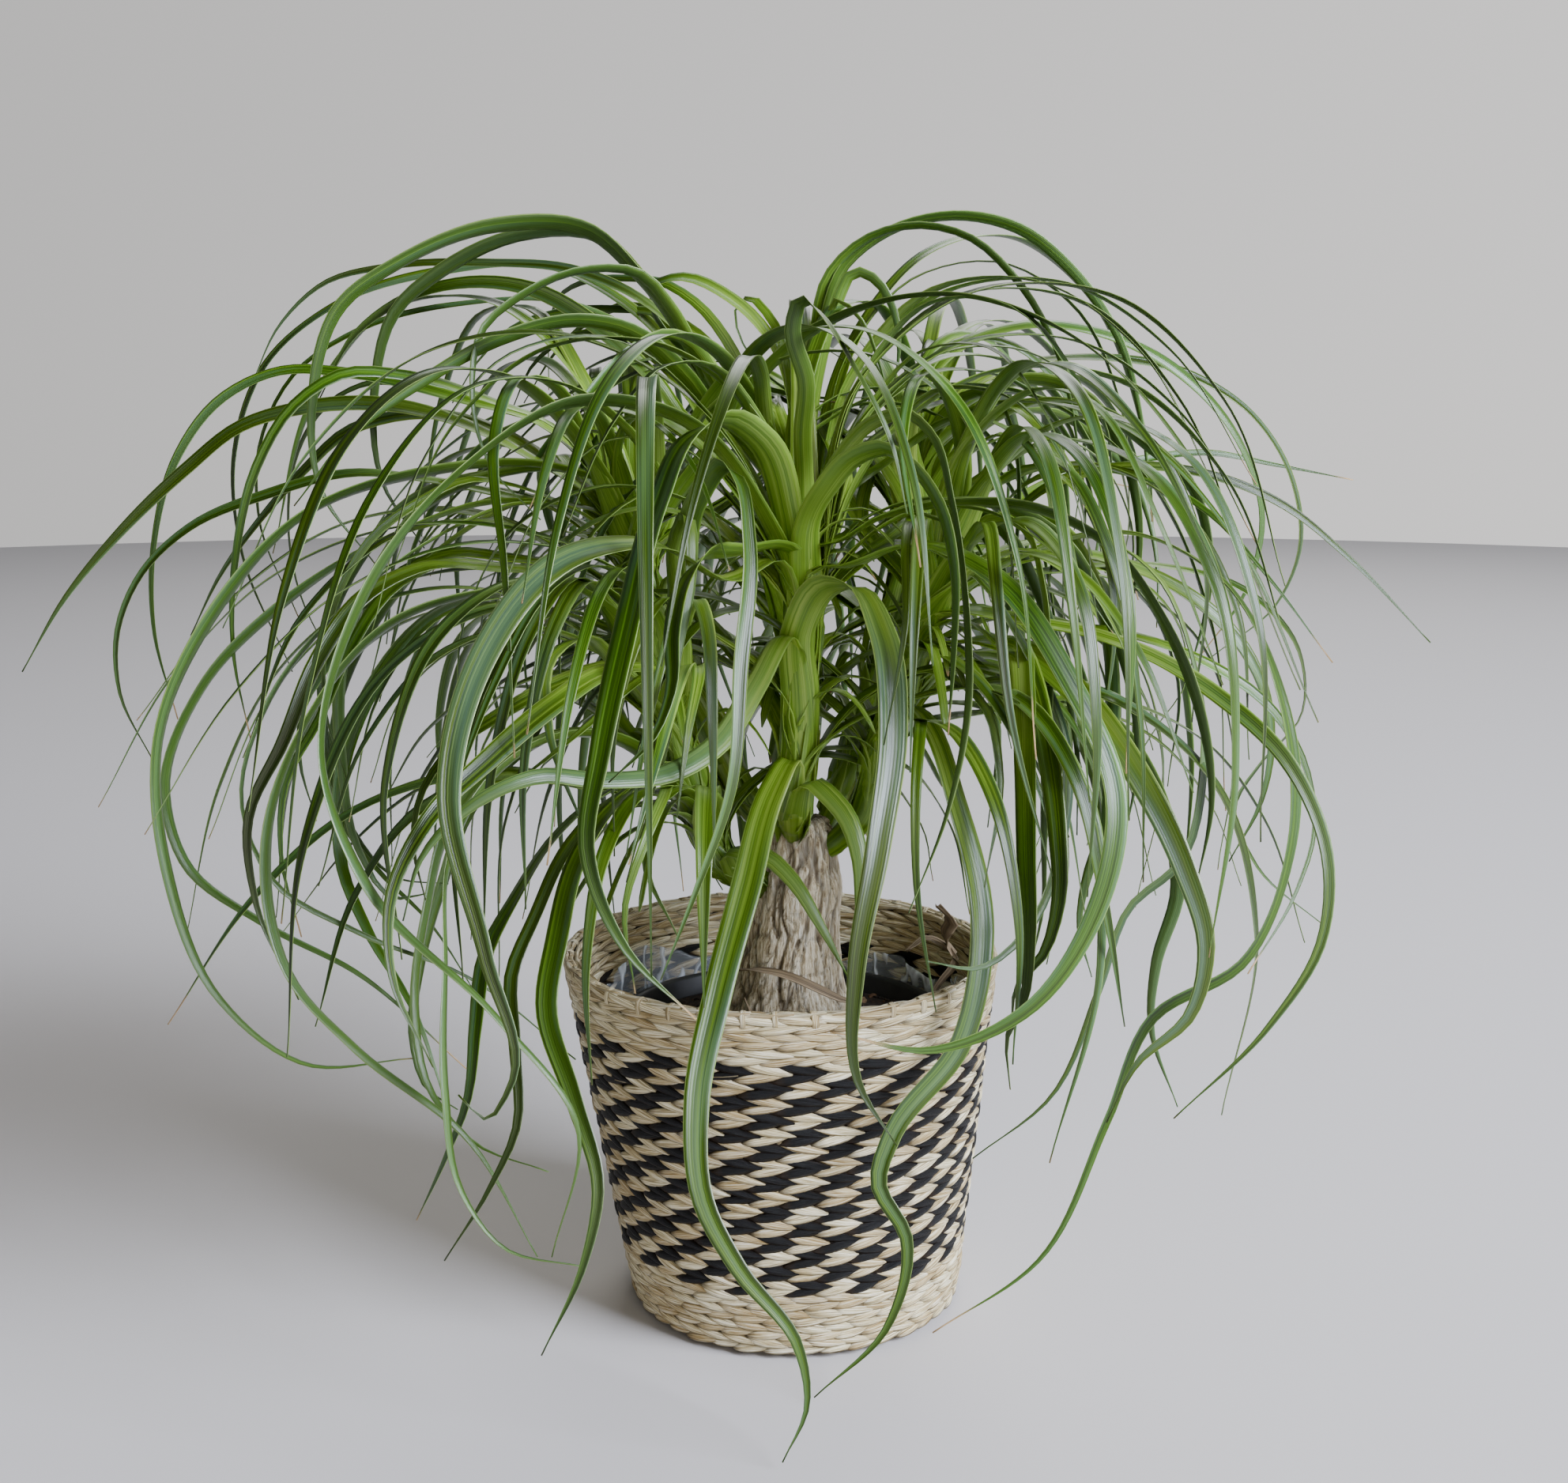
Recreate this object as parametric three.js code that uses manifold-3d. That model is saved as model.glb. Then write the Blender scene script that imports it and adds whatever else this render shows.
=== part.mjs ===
// Potted ponytail palm: a branched plant in a nursery pot, set in a plastic-lined woven basket.
// Millimetres, +Z up. The origin is the middle of the basket's flat underside; the front faces -Y.
import * as THREE from "three";
import Module from "manifold-3d";

const wasm = await Module();
wasm.setup();

const gap = 0.3; // clearance between touching nodes
const fullTurn = 2 * Math.PI;
const goldenAngle = Math.PI * (3 - Math.sqrt(5));
const restGap = 0.4; // clearance under what stands on something
const seed = 20424;

const basket = {
  height: 184,
  rimRadius: 110,
  footRadius: 84,
  wall: 5,
  floor: 4.5,
  lean: -8, // the rim's middle stands this far along X from the foot's middle
  stakes: 38,
  rowPitch: 12.3, // three rows of twining
  relief: 1.1,
  flatRadius: 77,
  bevel: 6,
  rimSlope: 1, // the rim is this much lower on its inner side
};

const liner = {
  film: 0.8,
  clearance: 0.4,
  crumple: 2.2,
  leastCrumple: 0.2,
  // each crease: how many go round, how far up they climb before they repeat, and their share
  creases: [
    { count: 7, climb: 19, share: 1 },
    { count: 13, climb: -11, share: 0.7 },
    { count: 23, climb: Infinity, share: 0.4 },
  ],
  edgeHeight: 158,
  edgeWave: 9,
  edgeLobes: { wide: 3, narrow: 5, turn: 0.6 },
  lift: 2, // the film's walls start this far above the basket's bevel
  around: 36,
  heightShares: [0, 0.5, 0.8, 1],
};

const pot = {
  bottom: 5.6,
  top: 148,
  footRadius: 62,
  rimRadius: 84,
  wall: 1.8,
  lip: 3,
  lipHeight: 9,
  around: 30,
};

const soil = {
  bottom: 8,
  surface: 138,
  mound: 3,
  crest: { radiusShare: 0.7, heightShare: 0.6, lobes: 5 },
  around: 30,
};

// The trunk swells towards the soil and is cut off flat at the top, where the shoots stand round it.
const trunk = {
  around: 28,
  ridge: 1.1, // depth of the bark's fissures
  ridges: 9,
  ridgeWander: { turn: 0.55, pace: 0.9 },
  cutHollow: 0.8, // the cut top dips by this much in its middle
  soilStation: 3,
  stations: [
    { z: 96, x: -5, r: 20 },
    { z: 108, x: -5, r: 29 },
    { z: 122, x: -5, r: 34 },
    { z: 137, x: -5, r: 34.5 },
    { z: 150, x: -4.6, r: 31.5 },
    { z: 166, x: -3.6, r: 27.5 },
    { z: 184, x: -2, r: 24.3 },
    { z: 202, x: 0, r: 22 },
    { z: 219, x: 2, r: 20.5 },
    { z: 234, x: 2.4, r: 18 },
    { z: 246, x: 2.6, r: 15.8 },
    { z: 251, x: 2.6, r: 13.2 },
  ],
};

const stemForm = { around: 8, steps: 9, cap: 5, sampleShare: 0.02 };

const blade = {
  keel: 1.5, // depth of the midrib below the flat upper face
  tipKeel: 0.9,
  sunk: 3, // how far a blade's foot lies inside its stem
  leastSunk: 0.5, // and how near it may come to the stem's middle
  footWidth: 0.75, // share of the full width at the foot
  footLength: 0.14, // share of the length in which the foot reaches the full width
  taper: 2.3, // a higher power keeps a blade wide for longer
  leastWidth: 1.4,
  fineSteps: 80,
  bendWeight: 60, // a radian of bend counts as this much length where sections are shared out
  twistPerStep: THREE.MathUtils.degToRad(11),
  twistWithin: 0.35, // share of the length in which it turns its face
  clearance: 3.6, // between the sampled points of two blades
  sampleStep: 3,
};

// How a leaf that is placed by rule may grow: pairs are its least and most.
const ruled = {
  rootZone: 30, // it may touch blades of its own shoot this near to its foot
  tries: 150,
  length: [250, 500],
  shortest: 0.6, // the last try's share of the length
  width: [8, 12.5],
  launch: [58, 14], // degrees from the upright where it leaves the stem, for the lowest and highest leaf
  launchSpread: 22,
  hang: [140, 196], // degrees from the upright at its tip
  drift: 1.1,
  swing: 3.4, // how far round the stem the last try may start
  points: 9,
  facing: 0.25,
  early: 0.05, // share of the length that the arch's ends are cut short by
  steps: 5,
  longBlade: 420, // above this length it gets one more section
  // the shares of the leaves and of the stem that the low whorl and the crown take
  whorl: { leaves: 0.3, from: 0.3, to: 0.5 },
  crownFrom: 0.66,
};

// How a traced leaf is set in depth: how far it may shift, and the picture length of its hidden foot.
const traced = {
  rootZone: 64,
  shifts: [0, -7, 7, -14, 14, -21, 21, -29, 29, -38, 38, -48, 48, -60, 60, -75, 75, -90, 90],
  shiftWithin: 0.4, // share of the length in which the shift grows
  hiddenFoot: 60,
  facing: 0.8,
  launch: { along: 0.35, toFirst: 0.25 },
  leastSteps: 4,
  lengthPerStep: 190,
  pointsPerStep: 4,
  mostSteps: 10,
  // where the feet stand: leaves that start this far below the crown, and all others up to its top
  lowFoot: 0.38,
  highFoot: 0.82,
  crownShare: 0.8,
  belowCrown: 10,
};

// Distances that blades keep from the basket, the soil and the trunk.
const keepOff = { margin: 2.5, overSoil: 24, insideWall: 9, rootReach: 4 };

// The crown's reach, seen from the front.
const crown = { left: -390, right: 322, front: -315, back: 315, top: 553, floor: 2.6 };

// The view that the traced leaves were read in: eye, pitch and focal length, and the picture's middle.
const view = {
  eye: new THREE.Vector3(-6, -970, 473),
  pitch: THREE.MathUtils.degToRad(10.6),
  focalPixels: 2480,
  middle: { x: 992, y: 938 },
};

// Parts of the view that leaves placed by rule leave open: none nearer than depth passes over them.
const openViews = [
  { left: 930, top: 500, right: 1135, bottom: 900, depth: -50 }, // the front crown
  { left: 920, top: 900, right: 1085, bottom: 1290, depth: -40 }, // the trunk
  { left: 765, top: 1290, right: 1230, bottom: 1725, depth: -60 }, // the basket's face
  { left: 860, top: 0, right: 1035, bottom: 375, depth: Infinity }, // between the two high arches
  { left: 0, top: 0, right: 1984, bottom: 268, depth: Infinity },
  { left: 0, top: 0, right: 310, bottom: 440, depth: Infinity },
  { left: 0, top: 0, right: 190, bottom: 620, depth: Infinity },
  { left: 1460, top: 0, right: 1984, bottom: 420, depth: Infinity },
  { left: 1600, top: 0, right: 1984, bottom: 560, depth: Infinity },
  { left: 1690, top: 0, right: 1984, bottom: 1876, depth: Infinity },
  { left: 1240, top: 1500, right: 1984, bottom: 1876, depth: Infinity },
  { left: 0, top: 1380, right: 400, bottom: 1876, depth: Infinity },
];

// Each shoot: its stem's points from inside the trunk to the crown, the stem's radii, the count of
// leaves placed by rule, and the leaves traced from the picture as [width, depth of the tip, points],
// with the share of the stem where the leaf's foot stands if that isn't the usual one.
const shoots = [
  {
    name: "shoot_front",
    colour: 0x4f8a2a,
    stem: [
      [-1, -11, 245],
      [-2, -22, 262],
      [1, -24, 290],
      [3, -30, 335],
      [4, -36, 372],
      [4, -38, 398],
    ],
    radii: [5, 8, 7.5, 6.5, 7.5, 4],
    ruleLeaves: 24,
    traced: [
      [17, -205, [[988, 630], [955, 548], [908, 532], [868, 562], [819, 687], [774, 897], [741, 1048],
        [760, 1140], [812, 1229], [881, 1290]]],
      [13, -190, [[950, 700], [900, 700], [868, 735], [853, 785], [848, 880], [825, 935], [770, 990]]],
      [12, -235, [[960, 640], [910, 570], [860, 530], [800, 510], [750, 506], [660, 540], [565, 615],
        [485, 715], [432, 825], [409, 940], [422, 1045], [485, 1145], [575, 1232], [655, 1315],
        [725, 1400], [730, 1490], [698, 1590]]],
      [15, -255, [[940, 735], [850, 695], [800, 688], [755, 690], [680, 735], [615, 825], [576, 930],
        [570, 1040], [610, 1195], [645, 1295], [643, 1390], [618, 1418], [580, 1385]]],
      [14, -178, [[1050, 725], [1105, 697], [1160, 690], [1215, 700], [1305, 785], [1372, 905],
        [1412, 1015], [1398, 1120], [1340, 1235], [1250, 1310], [1130, 1330], [1050, 1305]]],
      [8, -150, [[1025, 650], [1055, 590], [1095, 545], [1135, 522], [1170, 540], [1204, 640],
        [1221, 760], [1224, 900], [1198, 1030], [1150, 1155]]],
      [13, -120, [[1022, 665], [1052, 610], [1090, 575], [1125, 570], [1180, 625], [1206, 720],
        [1205, 850], [1200, 930]]],
      [17, -190, [[1006, 822], [1020, 775], [1042, 745], [1070, 738], [1098, 760], [1127, 870],
        [1122, 1000], [1098, 1140], [1080, 1270], [1090, 1385], [1135, 1450]], 0.57],
      [12, -120, [[1050, 690], [1100, 662], [1160, 646], [1220, 637], [1290, 640], [1390, 682],
        [1465, 775], [1515, 890], [1533, 1010], [1512, 1130]]],
      [15, -176, [[985, 985], [965, 1040], [930, 1180], [893, 1320], [880, 1440], [903, 1560],
        [965, 1640], [1013, 1710], [1018, 1800], [990, 1850]]],
      [11, -70, [[1030, 990], [1060, 1015], [1082, 1060], [1090, 1110], [1080, 1230]]],
      [12, -190, [[994, 800], [972, 832], [945, 885], [885, 960], [790, 987], [690, 980],
        [595, 1020], [530, 1090], [510, 1165]], 0.68],
      [9, -150, [[1015, 560], [1022, 500], [1010, 440], [1004, 400], [1018, 379], [1065, 440],
        [1100, 500], [1135, 580], [1148, 650]]],
    ],
  },
  {
    name: "shoot_front_left",
    colour: 0x4a8228,
    stem: [
      [-12, -5, 221],
      [-34, -10, 228],
      [-44, -12, 248],
      [-52, -16, 275],
      [-60, -20, 302],
      [-66, -22, 322],
    ],
    radii: [5, 8, 7.5, 6.8, 7, 4],
    ruleLeaves: 24,
    traced: [
      [11, -170, [[862, 780], [868, 690], [888, 620], [920, 588], [943, 650], [947, 720], [935, 860],
        [926, 990], [903, 1085], [850, 1180], [836, 1240]]],
      [13, -215, [[835, 985], [795, 1005], [755, 1045], [725, 1105], [705, 1190], [690, 1260],
        [706, 1330], [745, 1450], [757, 1510], [735, 1610], [685, 1715]]],
      [11, -190, [[820, 960], [760, 930], [700, 935], [650, 960], [580, 1050], [565, 1180],
        [568, 1320], [567, 1450], [625, 1570], [740, 1603]]],
      [12, -225, [[850, 852], [800, 845], [745, 860], [650, 935], [555, 1020], [498, 1120],
        [496, 1235], [548, 1350]]],
      [11, -160, [[830, 830], [790, 770], [745, 738], [630, 747], [520, 775], [440, 840], [380, 930],
        [342, 1020], [345, 1120], [385, 1270], [500, 1360], [600, 1450], [680, 1590]]],
      [10, -60, [[930, 1075], [960, 1078], [1000, 1110], [1035, 1165], [1075, 1240]]],
    ],
  },
  {
    name: "shoot_left",
    colour: 0x457a2a,
    stem: [
      [-8, 6, 233],
      [-26, 14, 260],
      [-44, 22, 296],
      [-62, 26, 334],
      [-76, 28, 366],
      [-84, 28, 390],
    ],
    radii: [5, 7.5, 7, 6.5, 7, 4],
    ruleLeaves: 25,
    traced: [
      [11, -110, [[770, 610], [710, 595], [650, 590], [530, 600], [420, 632], [335, 695], [262, 790],
        [210, 890], [202, 1000], [226, 1160], [280, 1267], [370, 1340], [430, 1352], [522, 1339]]],
      [9, -60, [[740, 652], [690, 638], [630, 636], [520, 668], [400, 738], [300, 812], [238, 905],
        [209, 1005], [235, 1092], [320, 1160], [420, 1208], [500, 1270], [590, 1352]]],
      [10, -130, [[720, 720], [650, 722], [580, 716], [500, 728], [420, 800], [370, 920], [322, 1000],
        [315, 1100], [345, 1200], [378, 1265]]],
      [9, 60, [[720, 560], [640, 520], [560, 500], [480, 480], [400, 467], [320, 480], [250, 535],
        [212, 610], [192, 720], [200, 830], [225, 910]]],
      [11, 8, [[720, 612], [640, 562], [560, 528], [480, 512], [400, 514], [300, 542], [240, 590],
        [180, 645], [110, 720], [60, 790], [28, 850]]],
      [8, 20, [[700, 640], [600, 620], [500, 600], [440, 600], [340, 625], [260, 655], [200, 700],
        [160, 760], [145, 840], [160, 900], [195, 965]]],
    ],
  },
  {
    name: "shoot_back",
    colour: 0x4a7f2c,
    stem: [
      [-1, 11, 243],
      [-3, 27, 268],
      [4, 36, 305],
      [4, 42, 350],
      [6, 44, 388],
      [6, 44, 414],
    ],
    radii: [5, 7.5, 7, 6.5, 7, 4],
    ruleLeaves: 24,
    traced: [
      [12, 0, [[950, 560], [900, 490], [850, 425], [775, 308], [700, 286], [630, 286], [545, 319],
        [465, 350], [415, 415], [396, 500], [398, 595], [440, 680], [475, 714]]],
      [10, 70, [[975, 430], [935, 385], [890, 362], [840, 352], [824, 372], [862, 440], [950, 480],
        [1050, 507], [1105, 503]]],
      [7, 110, [[930, 520], [870, 430], [770, 355], [640, 334], [500, 336], [400, 364], [335, 440],
        [317, 490]]],
      [8, 140, [[920, 540], [860, 450], [740, 350], [620, 338], [500, 356], [400, 400], [330, 470],
        [300, 555], [294, 650], [318, 730], [370, 850]]],
      [12, 60, [[880, 545], [812, 462], [742, 405], [650, 360], [550, 365], [460, 410], [404, 505]]],
      [11, -40, [[930, 560], [880, 490], [780, 412], [675, 415], [560, 468], [455, 540], [372, 640]]],
      [9, 70, [[1022, 560], [1030, 480], [1068, 340], [1150, 282], [1205, 274], [1310, 300],
        [1385, 380], [1433, 470], [1447, 570], [1458, 660]]],
      [9, 20, [[1028, 540], [1045, 440], [1082, 345], [1118, 365], [1138, 450], [1130, 495]]],
    ],
  },
  {
    name: "shoot_right",
    colour: 0x4c842a,
    stem: [
      [14, -4, 235],
      [34, -6, 256],
      [42, -6, 286],
      [52, -10, 320],
      [62, -14, 350],
      [70, -16, 374],
    ],
    radii: [5, 8, 7.5, 6.8, 7, 4],
    ruleLeaves: 25,
    traced: [
      [14, -128, [[1150, 890], [1185, 950], [1230, 1100], [1240, 1235], [1198, 1355], [1108, 1475],
        [1146, 1560], [1122, 1680], [1030, 1768]]],
      [12, -60, [[1230, 680], [1290, 655], [1340, 670], [1375, 720], [1407, 850], [1402, 980],
        [1385, 1150], [1340, 1240]]],
      [7, 40, [[1250, 745], [1320, 725], [1400, 714], [1470, 716], [1590, 757], [1650, 845],
        [1638, 925], [1565, 1000], [1580, 1080], [1680, 1175]]],
      [9, -75, [[1215, 742], [1290, 706], [1390, 676], [1500, 694], [1585, 790], [1630, 920],
        [1636, 1050], [1580, 1210], [1455, 1290], [1400, 1420], [1310, 1600], [1180, 1686]]],
      [9, -150, [[1260, 790], [1340, 790], [1410, 810], [1540, 880], [1630, 965], [1684, 1120],
        [1650, 1240], [1565, 1340], [1485, 1415]]],
      [10, -30, [[1250, 720], [1330, 700], [1410, 710], [1540, 780], [1603, 885], [1600, 1000],
        [1555, 1090]]],
      [15, -140, [[1250, 800], [1320, 840], [1400, 920], [1480, 1060], [1525, 1180], [1508, 1280],
        [1430, 1355], [1400, 1420]]],
      [13, -40, [[1230, 830], [1330, 860], [1420, 930], [1470, 1020], [1490, 1120], [1460, 1230],
        [1455, 1290], [1490, 1400]]],
    ],
  },
  {
    name: "shoot_back_right",
    colour: 0x487c2c,
    stem: [
      [12, 9, 240],
      [26, 27, 265],
      [38, 40, 300],
      [50, 48, 342],
      [58, 52, 380],
      [62, 54, 404],
    ],
    radii: [5, 7.5, 7, 6.5, 7, 4],
    ruleLeaves: 24,
    traced: [
      [10, 90, [[1150, 540], [1175, 470], [1225, 430], [1290, 410], [1410, 424], [1505, 480],
        [1575, 570], [1598, 670], [1568, 765], [1515, 835]]],
      [8, 130, [[1170, 560], [1215, 500], [1280, 465], [1350, 453], [1490, 468], [1590, 530],
        [1641, 630], [1632, 740], [1532, 832]]],
      [7, 150, [[1230, 700], [1280, 640], [1330, 610], [1400, 590], [1540, 573], [1650, 597],
        [1712, 607]]],
      [7, 60, [[1240, 690], [1300, 630], [1370, 600], [1440, 590], [1570, 612], [1670, 672],
        [1750, 750], [1810, 813]]],
      [10, 20, [[1180, 560], [1240, 500], [1300, 480], [1370, 500], [1420, 570], [1440, 650],
        [1440, 720], [1420, 800]]],
      [11, 0, [[1190, 560], [1260, 520], [1330, 510], [1400, 525], [1460, 570], [1510, 620],
        [1530, 700], [1525, 780], [1505, 850]]],
    ],
  },
];

// Numbers that look random but are the same on each run.
function seededRandom(seed) {
  let state = seed;
  return () => {
    state = (state + 0x6d2b79f5) | 0;
    let t = Math.imul(state ^ (state >>> 15), 1 | state);
    t = (t + Math.imul(t ^ (t >>> 7), 61 | t)) ^ t;
    return ((t ^ (t >>> 14)) >>> 0) / 4294967296;
  };
}

function mix(a, b, share) {
  return a + (b - a) * share;
}

function smooth(low, high, x) {
  const t = Math.min(1, Math.max(0, (x - low) / (high - low)));
  return t * t * (3 - 2 * t);
}

// The solid inside closed rings of equal count that turn anticlockwise about their direction of travel.
// A first or last ring of one point is a pole; a longer one is closed by a flat fan.
function skinSolid(rings) {
  const vertices = [];
  const triangles = [];
  const starts = rings.map((ring) => {
    const start = vertices.length / 3;
    ring.forEach((point) => vertices.push(point.x, point.y, point.z));
    return start;
  });
  for (let k = 0; k + 1 < rings.length; k++) {
    const [a, b] = [starts[k], starts[k + 1]];
    const n = Math.max(rings[k].length, rings[k + 1].length);
    for (let j = 0; j < n; j++) {
      const next = (j + 1) % n;
      if (rings[k].length === 1) triangles.push(a, b + next, b + j);
      else if (rings[k + 1].length === 1) triangles.push(a + j, a + next, b);
      else triangles.push(a + j, a + next, b + next, a + j, b + next, b + j);
    }
  }
  const last = rings.length - 1;
  for (let j = 1; j + 1 < rings[0].length; j++) triangles.push(starts[0], starts[0] + j + 1, starts[0] + j);
  for (let j = 1; j + 1 < rings[last].length; j++) {
    triangles.push(starts[last], starts[last] + j, starts[last] + j + 1);
  }
  return new wasm.Manifold(
    new wasm.Mesh({
      numProp: 3,
      vertProperties: new Float32Array(vertices),
      triVerts: new Uint32Array(triangles),
    }),
  );
}

function meshOf(name, solid, colour, roughness) {
  const made = solid.getMesh();
  const geometry = new THREE.BufferGeometry();
  geometry.setAttribute("position", new THREE.BufferAttribute(new Float32Array(made.vertProperties), 3));
  geometry.setIndex(new THREE.BufferAttribute(new Uint32Array(made.triVerts), 1));
  geometry.computeVertexNormals();
  const material = new THREE.MeshStandardMaterial({ color: colour, roughness, metalness: 0 });
  const mesh = new THREE.Mesh(geometry, material);
  mesh.name = name;
  return mesh;
}

// A ring round a vertical axis, with its radius and height given for each angle.
function levelRing(around, axisX, radiusAt, heightAt) {
  return Array.from({ length: around }, (_, j) => {
    const angle = (j / around) * fullTurn;
    const radius = radiusAt(angle, j);
    const [x, y] = [radius * Math.cos(angle), radius * Math.sin(angle)];
    return new THREE.Vector3(axisX + x, y, heightAt(angle, j));
  });
}

function pole(x, z) {
  return [new THREE.Vector3(x, 0, z)];
}

// The basket's plain outline, which the weave stands on: the side runs straight from foot to rim.
function basketRadius(z) {
  return mix(basket.footRadius, basket.rimRadius, z / basket.height);
}

function basketAxis(z) {
  return (basket.lean * z) / basket.height;
}

function basketInside(z) {
  return basketRadius(z) - basket.wall;
}

// Each stake pushes the twining out at one row and lets it in at the next, which makes the chevrons.
function buildBasket() {
  const around = 2 * basket.stakes;
  const rows = Math.floor((basket.height - basket.bevel) / basket.rowPitch);
  const rings = [pole(0, 0)];
  rings.push(levelRing(around, 0, () => basket.flatRadius, () => 0));
  for (let row = 0; row <= rows; row++) {
    const z = basket.height - (rows - row) * basket.rowPitch;
    const proud = (angle, j) => ((row + j) % 2 ? basket.relief : 0) - (row === 0 ? basket.relief : 0);
    rings.push(levelRing(around, basketAxis(z), (a, j) => basketRadius(z) + proud(a, j), () => z));
  }
  const top = basket.height;
  rings.push(levelRing(around, basketAxis(top), () => basketInside(top), () => top - basket.rimSlope));
  const middle = top / 2;
  rings.push(levelRing(around, basketAxis(middle), () => basketInside(middle), () => middle));
  const floorEdge = basket.floor + basket.bevel;
  rings.push(levelRing(around, basketAxis(floorEdge), () => basketInside(floorEdge), () => floorEdge));
  rings.push(levelRing(around, 0, () => basketInside(0) - basket.bevel, () => basket.floor));
  rings.push(pole(0, basket.floor));
  return meshOf("woven_basket", skinSolid(rings), 0xb59a6c, 0.85);
}

// Clear film that lines the basket: it stands off the wall in creases and ends in a wavy edge.
function buildLiner() {
  const crease = (angle, z) => {
    const wave = (sum, { count, climb, share }) => sum + share * Math.sin(count * angle + z / climb);
    const most = liner.creases.reduce((sum, { share }) => sum + share, 0);
    return liner.crumple * (0.5 + liner.creases.reduce(wave, 0) / (2 * most));
  };
  const { wide, narrow, turn } = liner.edgeLobes;
  const edgeRipple = (angle) => Math.sin(wide * angle + turn) * Math.cos(narrow * angle);
  const edge = (angle) => liner.edgeHeight + liner.edgeWave * edgeRipple(angle);
  const standOff = (angle, z) => Math.max(liner.leastCrumple, crease(angle, z));
  const outerRadius = (angle, z) => basketInside(z) - liner.clearance - standOff(angle, z);
  const low = basket.floor + basket.bevel + liner.lift;
  const heightAt = (share) => (angle) => mix(low, edge(angle), share);
  const wallRing = (share, inset) => {
    const height = heightAt(share);
    return Array.from({ length: liner.around }, (_, j) => {
      const angle = (j / liner.around) * fullTurn;
      const z = height(angle);
      const radius = outerRadius(angle, z) - inset;
      return new THREE.Vector3(basketAxis(z) + radius * Math.cos(angle), radius * Math.sin(angle), z);
    });
  };
  const shares = liner.heightShares;
  const floorZ = basket.floor + restGap;
  const floorRadius = basketInside(0) - basket.bevel - liner.lift;
  const rings = [pole(0, floorZ), levelRing(liner.around, 0, () => floorRadius, () => floorZ)];
  shares.forEach((share) => rings.push(wallRing(share, 0)));
  shares.toReversed().forEach((share) => rings.push(wallRing(share, liner.film)));
  const filmTop = floorZ + liner.film;
  rings.push(levelRing(liner.around, 0, () => floorRadius - liner.film, () => filmTop));
  rings.push(pole(0, filmTop));
  return meshOf("plastic_liner", skinSolid(rings), 0xdfe6ea, 0.12);
}

function potRadius(z) {
  return mix(pot.footRadius, pot.rimRadius, (z - pot.bottom) / (pot.top - pot.bottom));
}

function buildPot() {
  const lipFoot = pot.top - pot.lipHeight;
  const potFloor = pot.bottom + pot.wall;
  const ring = (radius, z) => levelRing(pot.around, basketAxis(z), () => radius, () => z);
  const rings = [
    pole(0, pot.bottom + restGap),
    ring(pot.footRadius, pot.bottom + restGap),
    ring(potRadius(lipFoot), lipFoot),
    ring(potRadius(lipFoot) + pot.lip, lipFoot + pot.wall),
    ring(potRadius(pot.top) + pot.lip, pot.top),
    ring(potRadius(pot.top) - pot.wall, pot.top),
    ring(potRadius(potFloor) - pot.wall, potFloor + restGap),
    pole(0, potFloor + restGap),
  ];
  return meshOf("nursery_pot", skinSolid(rings), 0x24262a, 0.5);
}

function trunkAt(z) {
  const { stations } = trunk;
  const upper = Math.max(1, stations.findIndex((station) => station.z >= z));
  const a = stations[upper - 1];
  const b = stations[upper];
  const share = Math.min(1, Math.max(0, (z - a.z) / (b.z - a.z)));
  return { x: mix(a.x, b.x, share), r: mix(a.r, b.r, share) };
}

// The trunk's body, with its bark in upright ridges that wander a little; grown makes it fatter all over.
function trunkSolid(grown) {
  const { around, ridge, ridges, ridgeWander, stations } = trunk;
  const rings = stations.map((station, k) =>
    levelRing(
      around,
      station.x,
      (angle) => {
        const fade = k === stations.length - 1 ? 0 : 1;
        const wander = ridgeWander.turn * Math.sin(k * ridgeWander.pace);
        return station.r + grown + fade * ridge * Math.sin(ridges * angle + wander);
      },
      () => station.z + (k === 0 ? -grown : 0),
    ),
  );
  const top = stations[stations.length - 1];
  const under = pole(stations[0].x, stations[0].z - grown);
  return skinSolid([under, ...rings, pole(top.x, top.z - trunk.cutHollow)]);
}

// Potting soil, heaped a little round the trunk, which stands in a plain hole.
function buildSoil() {
  const ring = (radius, z) => levelRing(soil.around, basketAxis(z), () => radius, () => z);
  const edge = potRadius(soil.surface) - pot.wall - gap;
  const { crest } = soil;
  const rings = [
    pole(0, soil.bottom + restGap),
    ring(potRadius(soil.bottom) - pot.wall - gap, soil.bottom + restGap),
    ring(edge, soil.surface),
    levelRing(
      soil.around,
      basketAxis(soil.surface),
      () => edge * crest.radiusShare,
      (angle) => soil.surface + soil.mound * mix(Math.sin(crest.lobes * angle), 1, crest.heightShare),
    ),
    pole(trunk.stations[trunk.soilStation].x, soil.surface + soil.mound),
  ];
  return meshOf("potting_soil", skinSolid(rings).subtract(trunkSolid(gap)), 0x2a211b, 0.95);
}

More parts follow.
